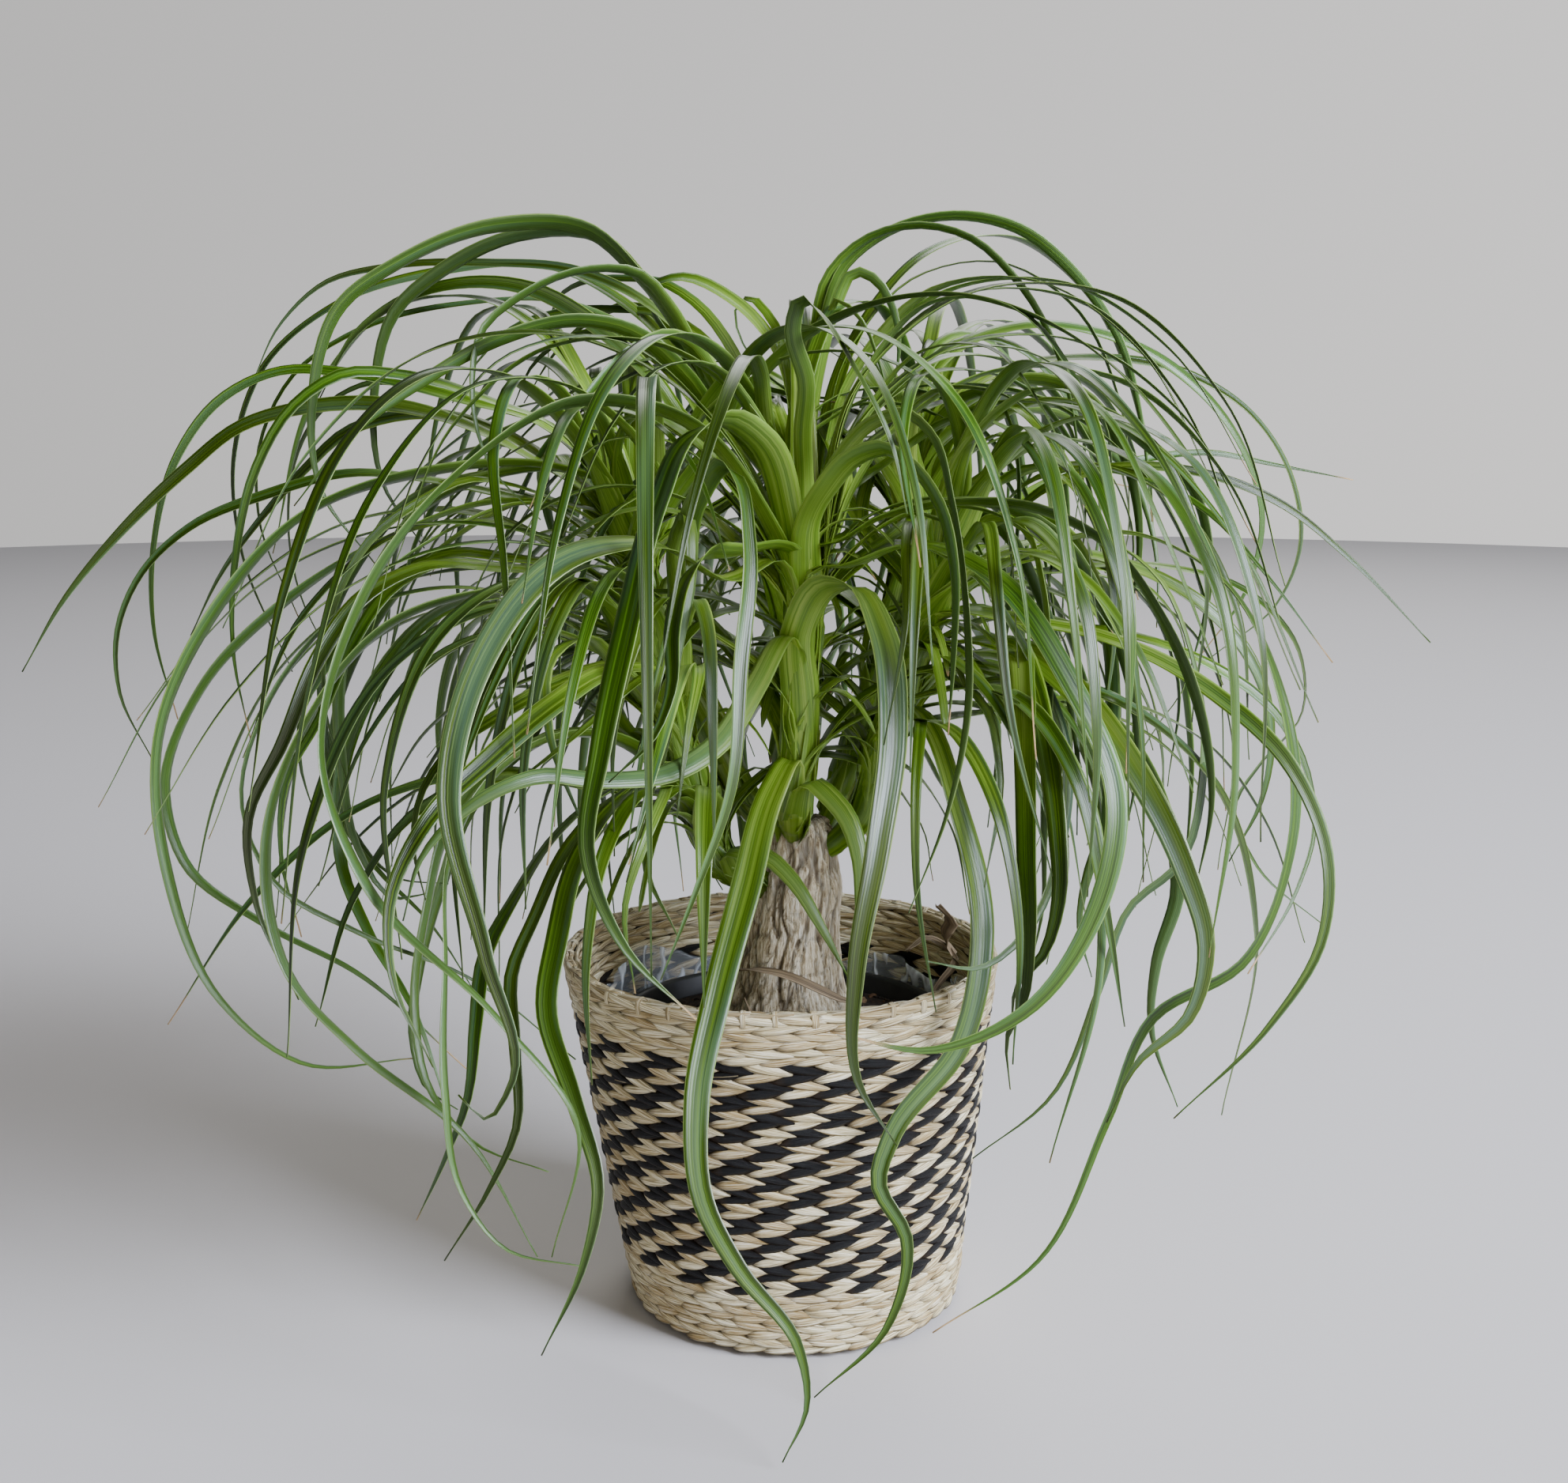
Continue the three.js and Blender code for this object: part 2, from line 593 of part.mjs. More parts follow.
// A smooth stem: its middle line, its radius and its two cross directions at any share of its length.
function makeStem(shoot) {
  const curve = new THREE.CatmullRomCurve3(shoot.stem.map((point) => new THREE.Vector3(...point)));
  const { around, steps, cap } = stemForm;
  const radiusAt = (share) => {
    const place = share * (shoot.radii.length - 1);
    const k = Math.min(shoot.radii.length - 2, Math.floor(place));
    return mix(shoot.radii[k], shoot.radii[k + 1], place - k);
  };
  const side = new THREE.Vector3(1, 0, 0);
  const frameAt = (share) => {
    const along = curve.getTangent(share);
    const across = side.clone().addScaledVector(along, -side.dot(along)).normalize();
    return { at: curve.getPoint(share), along, across, away: along.clone().cross(across) };
  };
  const ringAt = (share, grown) => {
    const frame = frameAt(share);
    return Array.from({ length: around }, (_, j) => {
      const angle = (j / around) * fullTurn;
      const radius = radiusAt(share) + grown;
      return frame.at
        .clone()
        .addScaledVector(frame.across, radius * Math.cos(angle))
        .addScaledVector(frame.away, radius * Math.sin(angle));
    });
  };
  const solid = (grown) => {
    const first = curve.getPoint(0).addScaledVector(curve.getTangent(0), -grown);
    const last = curve.getPoint(1).addScaledVector(curve.getTangent(1), cap + grown);
    const rings = Array.from({ length: steps + 1 }, (_, k) => ringAt(k / steps, grown));
    return skinSolid([[first], ...rings, [last]]);
  };
  return { curve, radiusAt, frameAt, ringAt, solid };
}

// The point at this depth (its Y) that the view shows at this pixel.
function fromPicture([pixelX, pixelY], depth) {
  const sideways = (pixelX - view.middle.x) / view.focalPixels;
  const upward = (view.middle.y - pixelY) / view.focalPixels;
  const [cosine, sine] = [Math.cos(view.pitch), Math.sin(view.pitch)];
  const ray = new THREE.Vector3(sideways, cosine + upward * sine, upward * cosine - sine);
  return view.eye.clone().addScaledVector(ray, (depth - view.eye.y) / ray.y);
}

// The pixel that shows a point.
function toPicture(at) {
  const offset = at.clone().sub(view.eye);
  const [cosine, sine] = [Math.cos(view.pitch), Math.sin(view.pitch)];
  const away = offset.y * cosine - offset.z * sine;
  const upward = offset.y * sine + offset.z * cosine;
  return {
    x: view.middle.x + (view.focalPixels * offset.x) / away,
    y: view.middle.y - (view.focalPixels * upward) / away,
  };
}

function leavesViewOpen({ at }) {
  const { x, y } = toPicture(at);
  return openViews.every(({ left, top, right, bottom, depth }) => {
    const over = x > left && x < right && y > top && y < bottom;
    return !(over && at.y < depth);
  });
}

// The share of its full width that a blade has at this share of its length.
function widthShare(share) {
  const widening = mix(blade.footWidth, 1, smooth(0, blade.footLength, share));
  return widening * (1 - Math.pow(share, blade.taper));
}

// A blade's cross sections along a path: right edge, left edge and the keel below. They lie closer
// where the path bends more. The face turns from the arch's own towards the viewer by show, 0 to 1.
function bladeSections(points, width, azimuth, show, steps) {
  const curve = new THREE.CatmullRomCurve3(points, false, "centripetal");
  const fine = curve.getSpacedPoints(blade.fineSteps);
  const measure = [0];
  for (let i = 1; i < fine.length; i++) {
    const step = fine[i].clone().sub(fine[i - 1]);
    const before = i > 1 ? fine[i - 1].clone().sub(fine[i - 2]) : step;
    measure.push(measure[i - 1] + step.length() + blade.bendWeight * step.angleTo(before));
  }
  const total = measure[measure.length - 1];
  const centres = [];
  const shares = [];
  for (let k = 0; k <= steps; k++) {
    const wanted = (k / steps) * total;
    let i = 1;
    while (i < fine.length - 1 && measure[i] < wanted) i++;
    const part = (wanted - measure[i - 1]) / (measure[i] - measure[i - 1]);
    centres.push(fine[i - 1].clone().lerp(fine[i], Math.min(1, Math.max(0, part))));
    shares.push((i - 1 + part) / (fine.length - 1));
  }
  const arch = new THREE.Vector3(-Math.sin(azimuth), Math.cos(azimuth), 0);
  const sections = [];
  let lateral = arch.clone();
  for (let k = 0; k < steps; k++) {
    const ahead = centres[k + 1].clone().sub(centres[k]).normalize();
    const behind = k ? centres[k].clone().sub(centres[k - 1]).normalize() : ahead;
    const along = ahead.clone().add(behind).normalize();
    lateral.addScaledVector(along, -lateral.dot(along)).normalize();
    const facing = along.clone().cross(centres[k].clone().sub(view.eye)).normalize();
    if (facing.dot(lateral) < 0) facing.negate();
    const wanted = arch.clone().lerp(facing, show * smooth(0, blade.twistWithin, shares[k]));
    wanted.addScaledVector(along, -wanted.dot(along)).normalize();
    const turn = Math.atan2(lateral.clone().cross(wanted).dot(along), lateral.dot(wanted));
    const allowed = k ? blade.twistPerStep : Math.PI;
    lateral.applyAxisAngle(along, Math.min(allowed, Math.max(-allowed, turn)));
    const normal = along.clone().cross(lateral);
    const half = 0.5 * Math.max(blade.leastWidth, width * widthShare(shares[k]));
    const keel = mix(blade.keel, blade.tipKeel, shares[k]);
    sections.push([
      centres[k].clone().addScaledVector(lateral, half),
      centres[k].clone().addScaledVector(lateral, -half),
      centres[k].clone().addScaledVector(normal, -keel),
    ]);
  }
  sections.push([centres[steps]]);
  return sections;
}

// Points spread over a blade, with their distance from its foot, for keeping blades apart.
function samplesOf(sections) {
  const samples = [];
  let travelled = 0;
  for (let k = 0; k + 1 < sections.length; k++) {
    const a = sections[k];
    const b = sections[k + 1].length === 1 ? [sections[k + 1][0], sections[k + 1][0]] : sections[k + 1];
    const length = a[0].clone().add(a[1]).distanceTo(b[0].clone().add(b[1])) / 2;
    const steps = Math.ceil(length / blade.sampleStep);
    const across = Math.ceil(a[0].distanceTo(a[1]) / blade.sampleStep);
    for (let i = 0; i < steps; i++) {
      for (let j = 0; j <= across; j++) {
        const start = a[0].clone().lerp(a[1], j / across);
        const end = b[0].clone().lerp(b[1], j / across);
        samples.push({ at: start.lerp(end, i / steps), reach: travelled + (length * i) / steps });
      }
    }
    travelled += length;
  }
  return samples;
}

// What is already placed, kept by cell so that near points are found quickly.
const cells = new Map();

function cellKey(x, y, z) {
  return `${x} ${y} ${z}`;
}

function remember(samples, owner) {
  for (const sample of samples) {
    const [x, y, z] = sample.at.toArray().map((value) => Math.floor(value / blade.clearance));
    const key = cellKey(x, y, z);
    if (!cells.has(key)) cells.set(key, []);
    cells.get(key).push({ ...sample, owner });
  }
}

function hitsOther(sample, owner, rootZone) {
  const [x, y, z] = sample.at.toArray().map((value) => Math.floor(value / blade.clearance));
  for (let dx = -1; dx <= 1; dx++) {
    for (let dy = -1; dy <= 1; dy++) {
      for (let dz = -1; dz <= 1; dz++) {
        for (const other of cells.get(cellKey(x + dx, y + dy, z + dz)) ?? []) {
          const footOfSame = other.owner === owner && sample.reach < rootZone;
          if (!footOfSame && other.at.distanceTo(sample.at) < blade.clearance) return true;
        }
      }
    }
  }
  return false;
}

// Whether a point is in or too near the basket's wall, the soil, the trunk or the ground.
function hitsHolder({ at, reach }) {
  const { margin } = keepOff;
  if (at.z < crown.floor || at.z > crown.top) return true;
  if (at.x < crown.left || at.x > crown.right || at.y < crown.front || at.y > crown.back) return true;
  if (at.z < basket.height + margin) {
    const radius = Math.hypot(at.x - basketAxis(at.z), at.y);
    const beside = radius < basketRadius(at.z) + basket.relief + margin;
    if (beside && at.z < soil.surface + keepOff.overSoil) return true;
    if (beside && radius > basketInside(at.z) - keepOff.insideWall) return true;
  }
  const top = trunk.stations[trunk.stations.length - 1].z;
  if (at.z < top + margin && reach > keepOff.rootReach) {
    const { x, r } = trunkAt(at.z);
    if (Math.hypot(at.x - x, at.y) < r + trunk.ridge + margin) return true;
  }
  return false;
}

function isClear(samples, owner, rootZone) {
  return samples.every((sample) => !hitsHolder(sample) && !hitsOther(sample, owner, rootZone));
}

// The share of the stem where this leaf of the shoot stands: a low whorl first, then up to the crown.
function footShare(order, count) {
  const share = (order + 0.5) / count;
  const { leaves, from, to } = ruled.whorl;
  if (share < leaves) return mix(from, to, share / leaves);
  return mix(ruled.crownFrom, 1, (share - leaves) / (1 - leaves));
}

function footPoint(stem, share, azimuth) {
  const frame = stem.frameAt(share);
  const outward = new THREE.Vector3(Math.cos(azimuth), Math.sin(azimuth), 0);
  outward.addScaledVector(frame.along, -outward.dot(frame.along)).normalize();
  const radius = Math.max(blade.leastSunk, stem.radiusAt(share) - blade.sunk);
  return { at: frame.at.clone().addScaledVector(outward, radius), outward, along: frame.along };
}

// A leaf that follows the points read from the picture. Its depth eases from its foot to its tip,
// and shifts nearer or farther until the leaf is clear of all that is placed.
function tracedLeaf(shoot, stem, [width, tipDepth, pixels], share) {
  const lengths = [0];
  for (let i = 1; i < pixels.length; i++) {
    const [a, b] = [pixels[i - 1], pixels[i]];
    lengths.push(lengths[i - 1] + Math.hypot(b[0] - a[0], b[1] - a[1]));
  }
  const total = lengths[lengths.length - 1] + traced.hiddenFoot;
  const middle = stem.curve.getPoint(share);
  for (const shift of traced.shifts) {
    const pathPoints = pixels.map((pixel, i) => {
      const s = (lengths[i] + traced.hiddenFoot) / total;
      const eased = 1 - (1 - s) * (1 - s);
      const shifted = shift * smooth(0, traced.shiftWithin, s);
      return fromPicture(pixel, mix(middle.y, tipDepth, eased) + shifted);
    });
    const far = pathPoints.reduce((a, b) => (Math.hypot(b.x, b.y) > Math.hypot(a.x, a.y) ? b : a));
    const azimuth = Math.atan2(far.y - middle.y, far.x - middle.x);
    const foot = footPoint(stem, share, azimuth);
    const first = pathPoints[0];
    const launch = foot.at
      .clone()
      .addScaledVector(foot.along, traced.launch.along * foot.at.distanceTo(first))
      .lerp(first, traced.launch.toFirst);
    const forLength = Math.ceil(total / traced.lengthPerStep);
    const forPoints = Math.ceil(pixels.length / traced.pointsPerStep);
    const steps = Math.min(traced.mostSteps, traced.leastSteps + forLength + forPoints);
    const path = [foot.at, launch, ...pathPoints];
    const sections = bladeSections(path, width, azimuth, traced.facing, steps);
    const samples = samplesOf(sections);
    if (isClear(samples, shoot.name, traced.rootZone)) return { sections, samples };
  }
  return null;
}

// A leaf that rises, arches over and hangs, with its tip curling in; each try leans another way.
function ruleLeaf(shoot, stem, share, startAzimuth, random) {
  const { tries, length: lengths, width: widths, hang, launch, points: count } = ruled;
  for (let attempt = 0; attempt < tries; attempt++) {
    const late = attempt / tries;
    const azimuth = startAzimuth + late * ruled.swing * (random() - 0.5);
    const length = mix(...lengths, random()) * mix(1, ruled.shortest, late);
    const rise = mix(...launch, share) + ruled.launchSpread * (random() - 0.5);
    const fall = mix(...hang, random());
    const drift = ruled.drift * (random() - 0.5);
    const points = [footPoint(stem, share, azimuth).at];
    for (let i = 0; i < count; i++) {
      const s = (i + 0.5) / count;
      const arch = smooth(-ruled.early, 1 - ruled.early, s);
      const tilt = THREE.MathUtils.degToRad(mix(rise, fall, arch));
      const heading = azimuth + drift * s * s;
      const direction = new THREE.Vector3(
        Math.sin(tilt) * Math.cos(heading),
        Math.sin(tilt) * Math.sin(heading),
        Math.cos(tilt),
      );
      points.push(points[i].clone().addScaledVector(direction, length / count));
    }
    const steps = ruled.steps + (length > ruled.longBlade ? 1 : 0);
    const width = mix(...widths, random());
    const sections = bladeSections(points, width, azimuth, ruled.facing * random(), steps);
    const samples = samplesOf(sections);
    const fits = samples.every(leavesViewOpen) && isClear(samples, shoot.name, ruled.rootZone);
    if (fits) return { sections, samples };
  }
  return null;
}

function stemSamples(stem) {
  const samples = [];
  for (let share = 0; share <= 1; share += stemForm.sampleShare) {
    stem.ringAt(share, 0).forEach((at) => samples.push({ at, reach: 0 }));
  }
  return samples;
}

// All shoots: every traced leaf is placed before the leaves by rule, which fill in round them.
function buildShoots() {
  const random = seededRandom(seed);
  const grown = shoots.map((shoot) => ({ shoot, stem: makeStem(shoot), leaves: [] }));
  grown.forEach(({ shoot, stem }) => remember(stemSamples(stem), shoot.name));
  const keep = (plant, leaf) => {
    if (!leaf) return;
    plant.leaves.push(leaf);
    remember(leaf.samples, plant.shoot.name);
  };
  for (const plant of grown) {
    const { shoot, stem } = plant;
    const crownPoint = stem.curve.getPoint(traced.crownShare);
    shoot.traced.forEach((leaf, order) => {
      const start = fromPicture(leaf[2][0], crownPoint.y);
      const low = start.z < crownPoint.z - traced.belowCrown;
      const high = mix(traced.highFoot, 1, order / shoot.traced.length);
      keep(plant, tracedLeaf(shoot, stem, leaf, leaf[3] ?? (low ? traced.lowFoot : high)));
    });
  }
  const most = Math.max(...shoots.map((shoot) => shoot.ruleLeaves));
  for (let order = 0; order < most; order++) {
    grown.forEach((plant, k) => {
      const { shoot, stem } = plant;
      if (order >= shoot.ruleLeaves) return;
      const share = footShare(order, shoot.ruleLeaves);
      keep(plant, ruleLeaf(shoot, stem, share, order * goldenAngle + k, random));
    });
  }
  return grown;
}

const plant = new THREE.Group();
const grownShoots = buildShoots();
const socketed = grownShoots.reduce((body, { stem }) => body.subtract(stem.solid(gap)), trunkSolid(0));

plant.add(buildBasket(), buildLiner(), buildPot(), buildSoil());
plant.add(meshOf("trunk", socketed, 0x8d7b66, 0.9));
for (const { shoot, stem, leaves } of grownShoots) {
  const whole = leaves.reduce((body, leaf) => body.add(skinSolid(leaf.sections)), stem.solid(0));
  plant.add(meshOf(shoot.name, whole, shoot.colour, 0.5));
}

export default plant;
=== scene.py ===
import math
import random

import bmesh
import bpy
import numpy as np
from mathutils import Matrix, Vector, noise


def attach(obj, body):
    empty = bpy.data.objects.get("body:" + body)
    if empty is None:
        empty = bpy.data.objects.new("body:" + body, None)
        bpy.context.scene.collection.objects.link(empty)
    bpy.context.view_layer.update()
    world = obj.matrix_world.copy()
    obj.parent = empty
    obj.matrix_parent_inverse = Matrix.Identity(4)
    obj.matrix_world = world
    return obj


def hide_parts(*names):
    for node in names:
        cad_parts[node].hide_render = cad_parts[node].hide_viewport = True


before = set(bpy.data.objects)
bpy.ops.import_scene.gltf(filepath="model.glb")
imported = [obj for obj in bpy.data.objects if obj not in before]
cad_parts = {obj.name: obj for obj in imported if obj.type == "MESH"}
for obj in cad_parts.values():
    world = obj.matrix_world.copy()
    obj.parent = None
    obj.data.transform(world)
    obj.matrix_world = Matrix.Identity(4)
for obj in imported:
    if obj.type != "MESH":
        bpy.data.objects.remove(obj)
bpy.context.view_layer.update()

mm = 0.001
fullTurn = 2 * math.pi


# an sRGB hex colour as the linear values that the shaders take
def linearColour(hexText):
    parts = [int(hexText[i:i + 2], 16) / 255 for i in (1, 3, 5)]
    return tuple(c / 12.92 if c <= 0.04045 else ((c + 0.055) / 1.055) ** 2.4 for c in parts) + (1.0,)


# adds a node with its settings, its fixed inputs and its links
def addNode(tree, kind, values=None, links=None, **settings):
    node = tree.nodes.new(kind)
    for key, value in settings.items():
        setattr(node, key, value)
    for key, value in (values or {}).items():
        node.inputs[key].default_value = value
    for key, socket in (links or {}).items():
        tree.links.new(socket, node.inputs[key])
    return node


# gives a socket a fixed value or a link
def feed(socket, value):
    if isinstance(value, bpy.types.NodeSocket):
        socket.id_data.links.new(value, socket)
    else:
        socket.default_value = value


# the node tree of the first socket among values
def treeOf(*values):
    return next(value.id_data for value in values if isinstance(value, bpy.types.NodeSocket))


def newMaterial(name, **shaderValues):
    material = bpy.data.materials.new(name)
    material.use_nodes = True
    tree = material.node_tree
    shader = tree.nodes["Principled BSDF"]
    for key, value in shaderValues.items():
        shader.inputs[key.replace("_", " ")].default_value = value
    return material, tree, shader


# colour ramp from (place, hex) pairs
def addRamp(factor, stops):
    ramp = addNode(factor.id_data, "ShaderNodeValToRGB", links={"Fac": factor})
    elements = ramp.color_ramp.elements
    while len(elements) < len(stops):
        elements.new(0.5)
    for element, (place, colour) in zip(elements, stops):
        element.position = place
        element.color = linearColour(colour)
    return ramp.outputs["Color"]


def mixColours(factor, first, second, blend="MIX"):
    tree = treeOf(factor, first, second)
    mix = addNode(tree, "ShaderNodeMix", data_type="RGBA", blend_type=blend)
    for index, value in ((0, factor), (6, first), (7, second)):
        feed(mix.inputs[index], value)
    return mix.outputs[2]


def addMath(operation, *values, clamp=False):
    node = addNode(treeOf(*values), "ShaderNodeMath", operation=operation, use_clamp=clamp)
    for index, value in enumerate(values):
        feed(node.inputs[index], value)
    return node.outputs[0]


def plus(first, second, clamp=False):
    return addMath("ADD", first, second, clamp=clamp)


def minus(first, second):
    return addMath("SUBTRACT", first, second)


def times(first, second):
    return addMath("MULTIPLY", first, second)


# carries a value from one span over to another and stops at its ends
def addRange(value, span, target):
    ends = {"From Min": span[0], "From Max": span[1], "To Min": target[0], "To Max": target[1]}
    return addNode(value.id_data, "ShaderNodeMapRange", ends, {"Value": value}, clamp=True).outputs[0]


def addAttribute(tree, name):
    return addNode(tree, "ShaderNodeAttribute", attribute_name=name).outputs["Fac"]


def objectPlace(tree):
    return addNode(tree, "ShaderNodeTexCoord").outputs["Object"]


def addNoise(place, scale, detail, roughness=0.5):
    values = {"Scale": scale, "Detail": detail, "Roughness": roughness}
    return addNode(place.id_data, "ShaderNodeTexNoise", values, {"Vector": place}).outputs["Fac"]


# noise on scaled attributes, so that it runs along a blade or a strand and differs from one to the next
def addStreaks(fields, scales, detail, roughness=0.5):
    axes = {axis: times(field, scale) for axis, field, scale in zip("XYZ", fields, scales)}
    place = addNode(fields[0].id_data, "ShaderNodeCombineXYZ", links=axes).outputs[0]
    return addNoise(place, 1.0, detail, roughness)


# links the colour and, where given, the bump height with its distance in metres
def finishShader(shader, colour, height=None, distance=0.0, strength=1.0):
    feed(shader.inputs["Base Color"], colour)
    if height is not None:
        values = {"Strength": strength, "Distance": distance}
        bump = addNode(shader.id_data, "ShaderNodeBump", values, {"Height": height})
        feed(shader.inputs["Normal"], bump.outputs["Normal"])


def linked(name, data):
    obj = bpy.data.objects.new(name, data)
    bpy.context.scene.collection.objects.link(obj)
    return obj


def addFloats(mesh, key, values):
    mesh.attributes.new(key, "FLOAT", "POINT").data.foreach_set("value", np.asarray(values, dtype=np.float32))


# a mesh object from arrays, with smooth faces and float attributes on its points
def meshObject(name, points, faces, material, attributes=None, smooth=True):
    mesh = bpy.data.meshes.new(name)
    mesh.from_pydata([tuple(p) for p in points], [], [tuple(f) for f in faces])
    mesh.validate()
    for key, values in (attributes or {}).items():
        addFloats(mesh, key, values)
    if material:
        mesh.materials.append(material)
    mesh.polygons.foreach_set("use_smooth", [smooth] * len(mesh.polygons))
    return linked(name, mesh)


# one object from several sets of points, faces and attributes
def gatherParts(name, parts, material):
    points, faces, attributes, start = [], [], {}, 0
    for partPoints, partFaces, partAttributes in parts:
        points.extend(partPoints)
        faces.extend(tuple(index + start for index in face) for face in partFaces)
        for key, values in partAttributes.items():
            attributes.setdefault(key, []).extend(values)
        start += len(partPoints)
    return meshObject(name, points, faces, material, attributes)


# quads between rings of points that follow one another, with a flat face at either end
def tubeFaces(rings, around):
    faces = []
    for k in range(rings - 1):
        for j in range(around):
            a, b = k * around + j, k * around + (j + 1) % around
            faces.append((a, b, b + around, a + around))
    last = (rings - 1) * around
    return faces + [tuple(range(around))[::-1], tuple(range(last, last + around))]


# rings of points, from a pole at the start to a pole at the end, as one closed skin
def closedRings(first, rings, last):
    around = len(rings[0])
    points = [first] + [p for ring in rings for p in ring] + [last]
    faces = []
    for j in range(around):
        following = (j + 1) % around
        faces.append((0, 1 + following, 1 + j))
        for k in range(len(rings) - 1):
            a = 1 + k * around
            faces.append((a + j, a + following, a + around + following, a + around + j))
        a = 1 + (len(rings) - 1) * around
        faces.append((len(points) - 1, a + j, a + following))
    return points, faces


# smooth values through rows of numbers at growing knots
def splineThrough(values, knots, at):
    slopes = np.gradient(values, knots, axis=0, edge_order=1)
    k = np.clip(np.searchsorted(knots, at, side="right") - 1, 0, len(knots) - 2)
    span = knots[k + 1] - knots[k]
    t = (at - knots[k]) / span
    shape = (-1,) + (1,) * (values.ndim - 1)
    t, span = t.reshape(shape), span.reshape(shape)
    return ((2 * t**3 - 3 * t**2 + 1) * values[k] + (t**3 - 2 * t**2 + t) * span * slopes[k]
            + (3 * t**2 - 2 * t**3) * values[k + 1] + (t**3 - t**2) * span * slopes[k + 1])


def turns(count):
    return [fullTurn * k / count for k in range(count)]


# a place at an angle and a distance from an upright axis
def polar(angle, radius, z, middle=0.0):
    return middle + radius * math.cos(angle), radius * math.sin(angle), z


def unit(v):
    return v / np.maximum(1e-12, np.linalg.norm(v, axis=-1, keepdims=True))


# camera, floor and light, in metres, degrees and watts, the lens and sensor in millimetres
stage = {
    "eye": (-0.006, -0.970, 0.473),
    "pitchDown": 10.6,
    "lens": 45.0,
    "sensor": 36.0,
    "nearest": 0.01,
    "floorRadius": 5.0,
    "floorSides": 96,
    "floorColour": "#c0bcb8",
    "sky": [(0.0, "#f5f3f2"), (0.18, "#f2f0ef"), (0.34, "#6a6a6c"), (1.0, "#58595c")],
    "skyStrength": 0.98,
    "skyMiddle": 0.92,
    "skyToRight": 0.5,
    "aim": (0, 0, 0.25),
    "lamps": {
        "windowRight": {"at": (3.5, -2.3, 2.7), "size": 2.4, "power": 830, "colour": "#e5ecff"},
        "softFront": {"at": (0.3, -2.6, 1.3), "size": 1.8, "power": 26, "colour": "#fff6ea"},
        "rim": {"at": (0.8, 3.6, 3.2), "size": 2.6, "power": 90, "colour": "#ffffff"},
    },
}


def makeStage():
    camera = bpy.data.cameras.new("camera")
    camera.lens = stage["lens"]
    camera.sensor_width = stage["sensor"]
    camera.sensor_fit = "HORIZONTAL"
    camera.clip_start = stage["nearest"]
    eye = linked("camera", camera)
    eye.location = stage["eye"]
    eye.rotation_euler = (math.radians(90 - stage["pitchDown"]), 0, 0)
    bpy.context.scene.camera = eye

    paper, _, _ = newMaterial("paleStudioFloor", Roughness=0.7, Base_Color=linearColour(stage["floorColour"]))
    edge = [polar(turn, stage["floorRadius"], 0) for turn in turns(stage["floorSides"])]
    floor = meshObject("floor", edge, [range(len(edge))], paper, smooth=False)

    world = bpy.data.worlds.new("studio")
    world.use_nodes = True
    tree = world.node_tree
    background = tree.nodes["Background"]
    background.inputs["Strength"].default_value = stage["skyStrength"]
    direction = addNode(tree, "ShaderNodeTexCoord").outputs["Generated"]
    parts = addNode(tree, "ShaderNodeSeparateXYZ", links={"Vector": direction}).outputs
    fall = plus(stage["skyMiddle"], times(parts["X"], stage["skyToRight"]))
    sky = mixColours(1.0, addRamp(parts["Z"], stage["sky"]), fall, "MULTIPLY")
    feed(background.inputs["Color"], sky)
    bpy.context.scene.world = world

    for name, lamp in stage["lamps"].items():
        light = bpy.data.lights.new(name, "AREA")
        light.size = lamp["size"]
        light.energy = lamp["power"]
        light.color = linearColour(lamp["colour"])[:3]
        holder = linked(name, light)
        holder.location = lamp["at"]
        aim = Vector(stage["aim"]) - Vector(lamp["at"])
        holder.rotation_euler = aim.to_track_quat("-Z", "Y").to_euler()


makeStage()
print("stage done")


# the stems' middle lines and radii, in millimetres, as the solids have them
shootStems = {
    "shoot_front": ([(-1, -11, 245), (-2, -22, 262), (1, -24, 290), (3, -30, 335), (4, -36, 372),
                     (4, -38, 398)], [5, 8, 7.5, 6.5, 7.5, 4]),
    "shoot_front_left": ([(-12, -5, 221), (-34, -10, 228), (-44, -12, 248), (-52, -16, 275), (-60, -20, 302),
                          (-66, -22, 322)], [5, 8, 7.5, 6.8, 7, 4]),
    "shoot_left": ([(-8, 6, 233), (-26, 14, 260), (-44, 22, 296), (-62, 26, 334), (-76, 28, 366),
                    (-84, 28, 390)], [5, 7.5, 7, 6.5, 7, 4]),
    "shoot_back": ([(-1, 11, 243), (-3, 27, 268), (4, 36, 305), (4, 42, 350), (6, 44, 388), (6, 44, 414)],
                   [5, 7.5, 7, 6.5, 7, 4]),
    "shoot_right": ([(14, -4, 235), (34, -6, 256), (42, -6, 286), (52, -10, 320), (62, -14, 350),
                     (70, -16, 374)], [5, 8, 7.5, 6.8, 7, 4]),
    "shoot_back_right": ([(12, 9, 240), (26, 27, 265), (38, 40, 300), (50, 48, 342), (58, 52, 380),
                          (62, 54, 404)], [5, 7.5, 7, 6.5, 7, 4]),
}
stemLook = {"samples": 60, "around": 18, "scar": 0.35 * mm, "wave": 0.25 * mm, "footShare": (0.05, 0.11)}

# one blade: shares are of its length, or across it of half its width
bladeLook = {
    "leastSteps": 14,
    "leastWidth": 0.7 * mm,
    "thickness": 0.45 * mm,
    "thinMargin": 0.45,
    "channel": 0.2,  # how deep it is folded along its middle
    "channelPower": 1.35,
    "clasp": 0.75,  # and how much deeper where it clasps the stem
    "flare": 0.11,  # the length in which that is lost
    "taper": 0.3,
    "taperPower": 0.8,
    "ripple": 0.5 * mm,  # slow waves of the margins
    "rippleLength": 21 * mm,
    "rippleAcross": 1.9,
    "ripplePhases": 6.28,
    "fullRipple": 4 * mm,  # half the width above which the margins wave in full
}

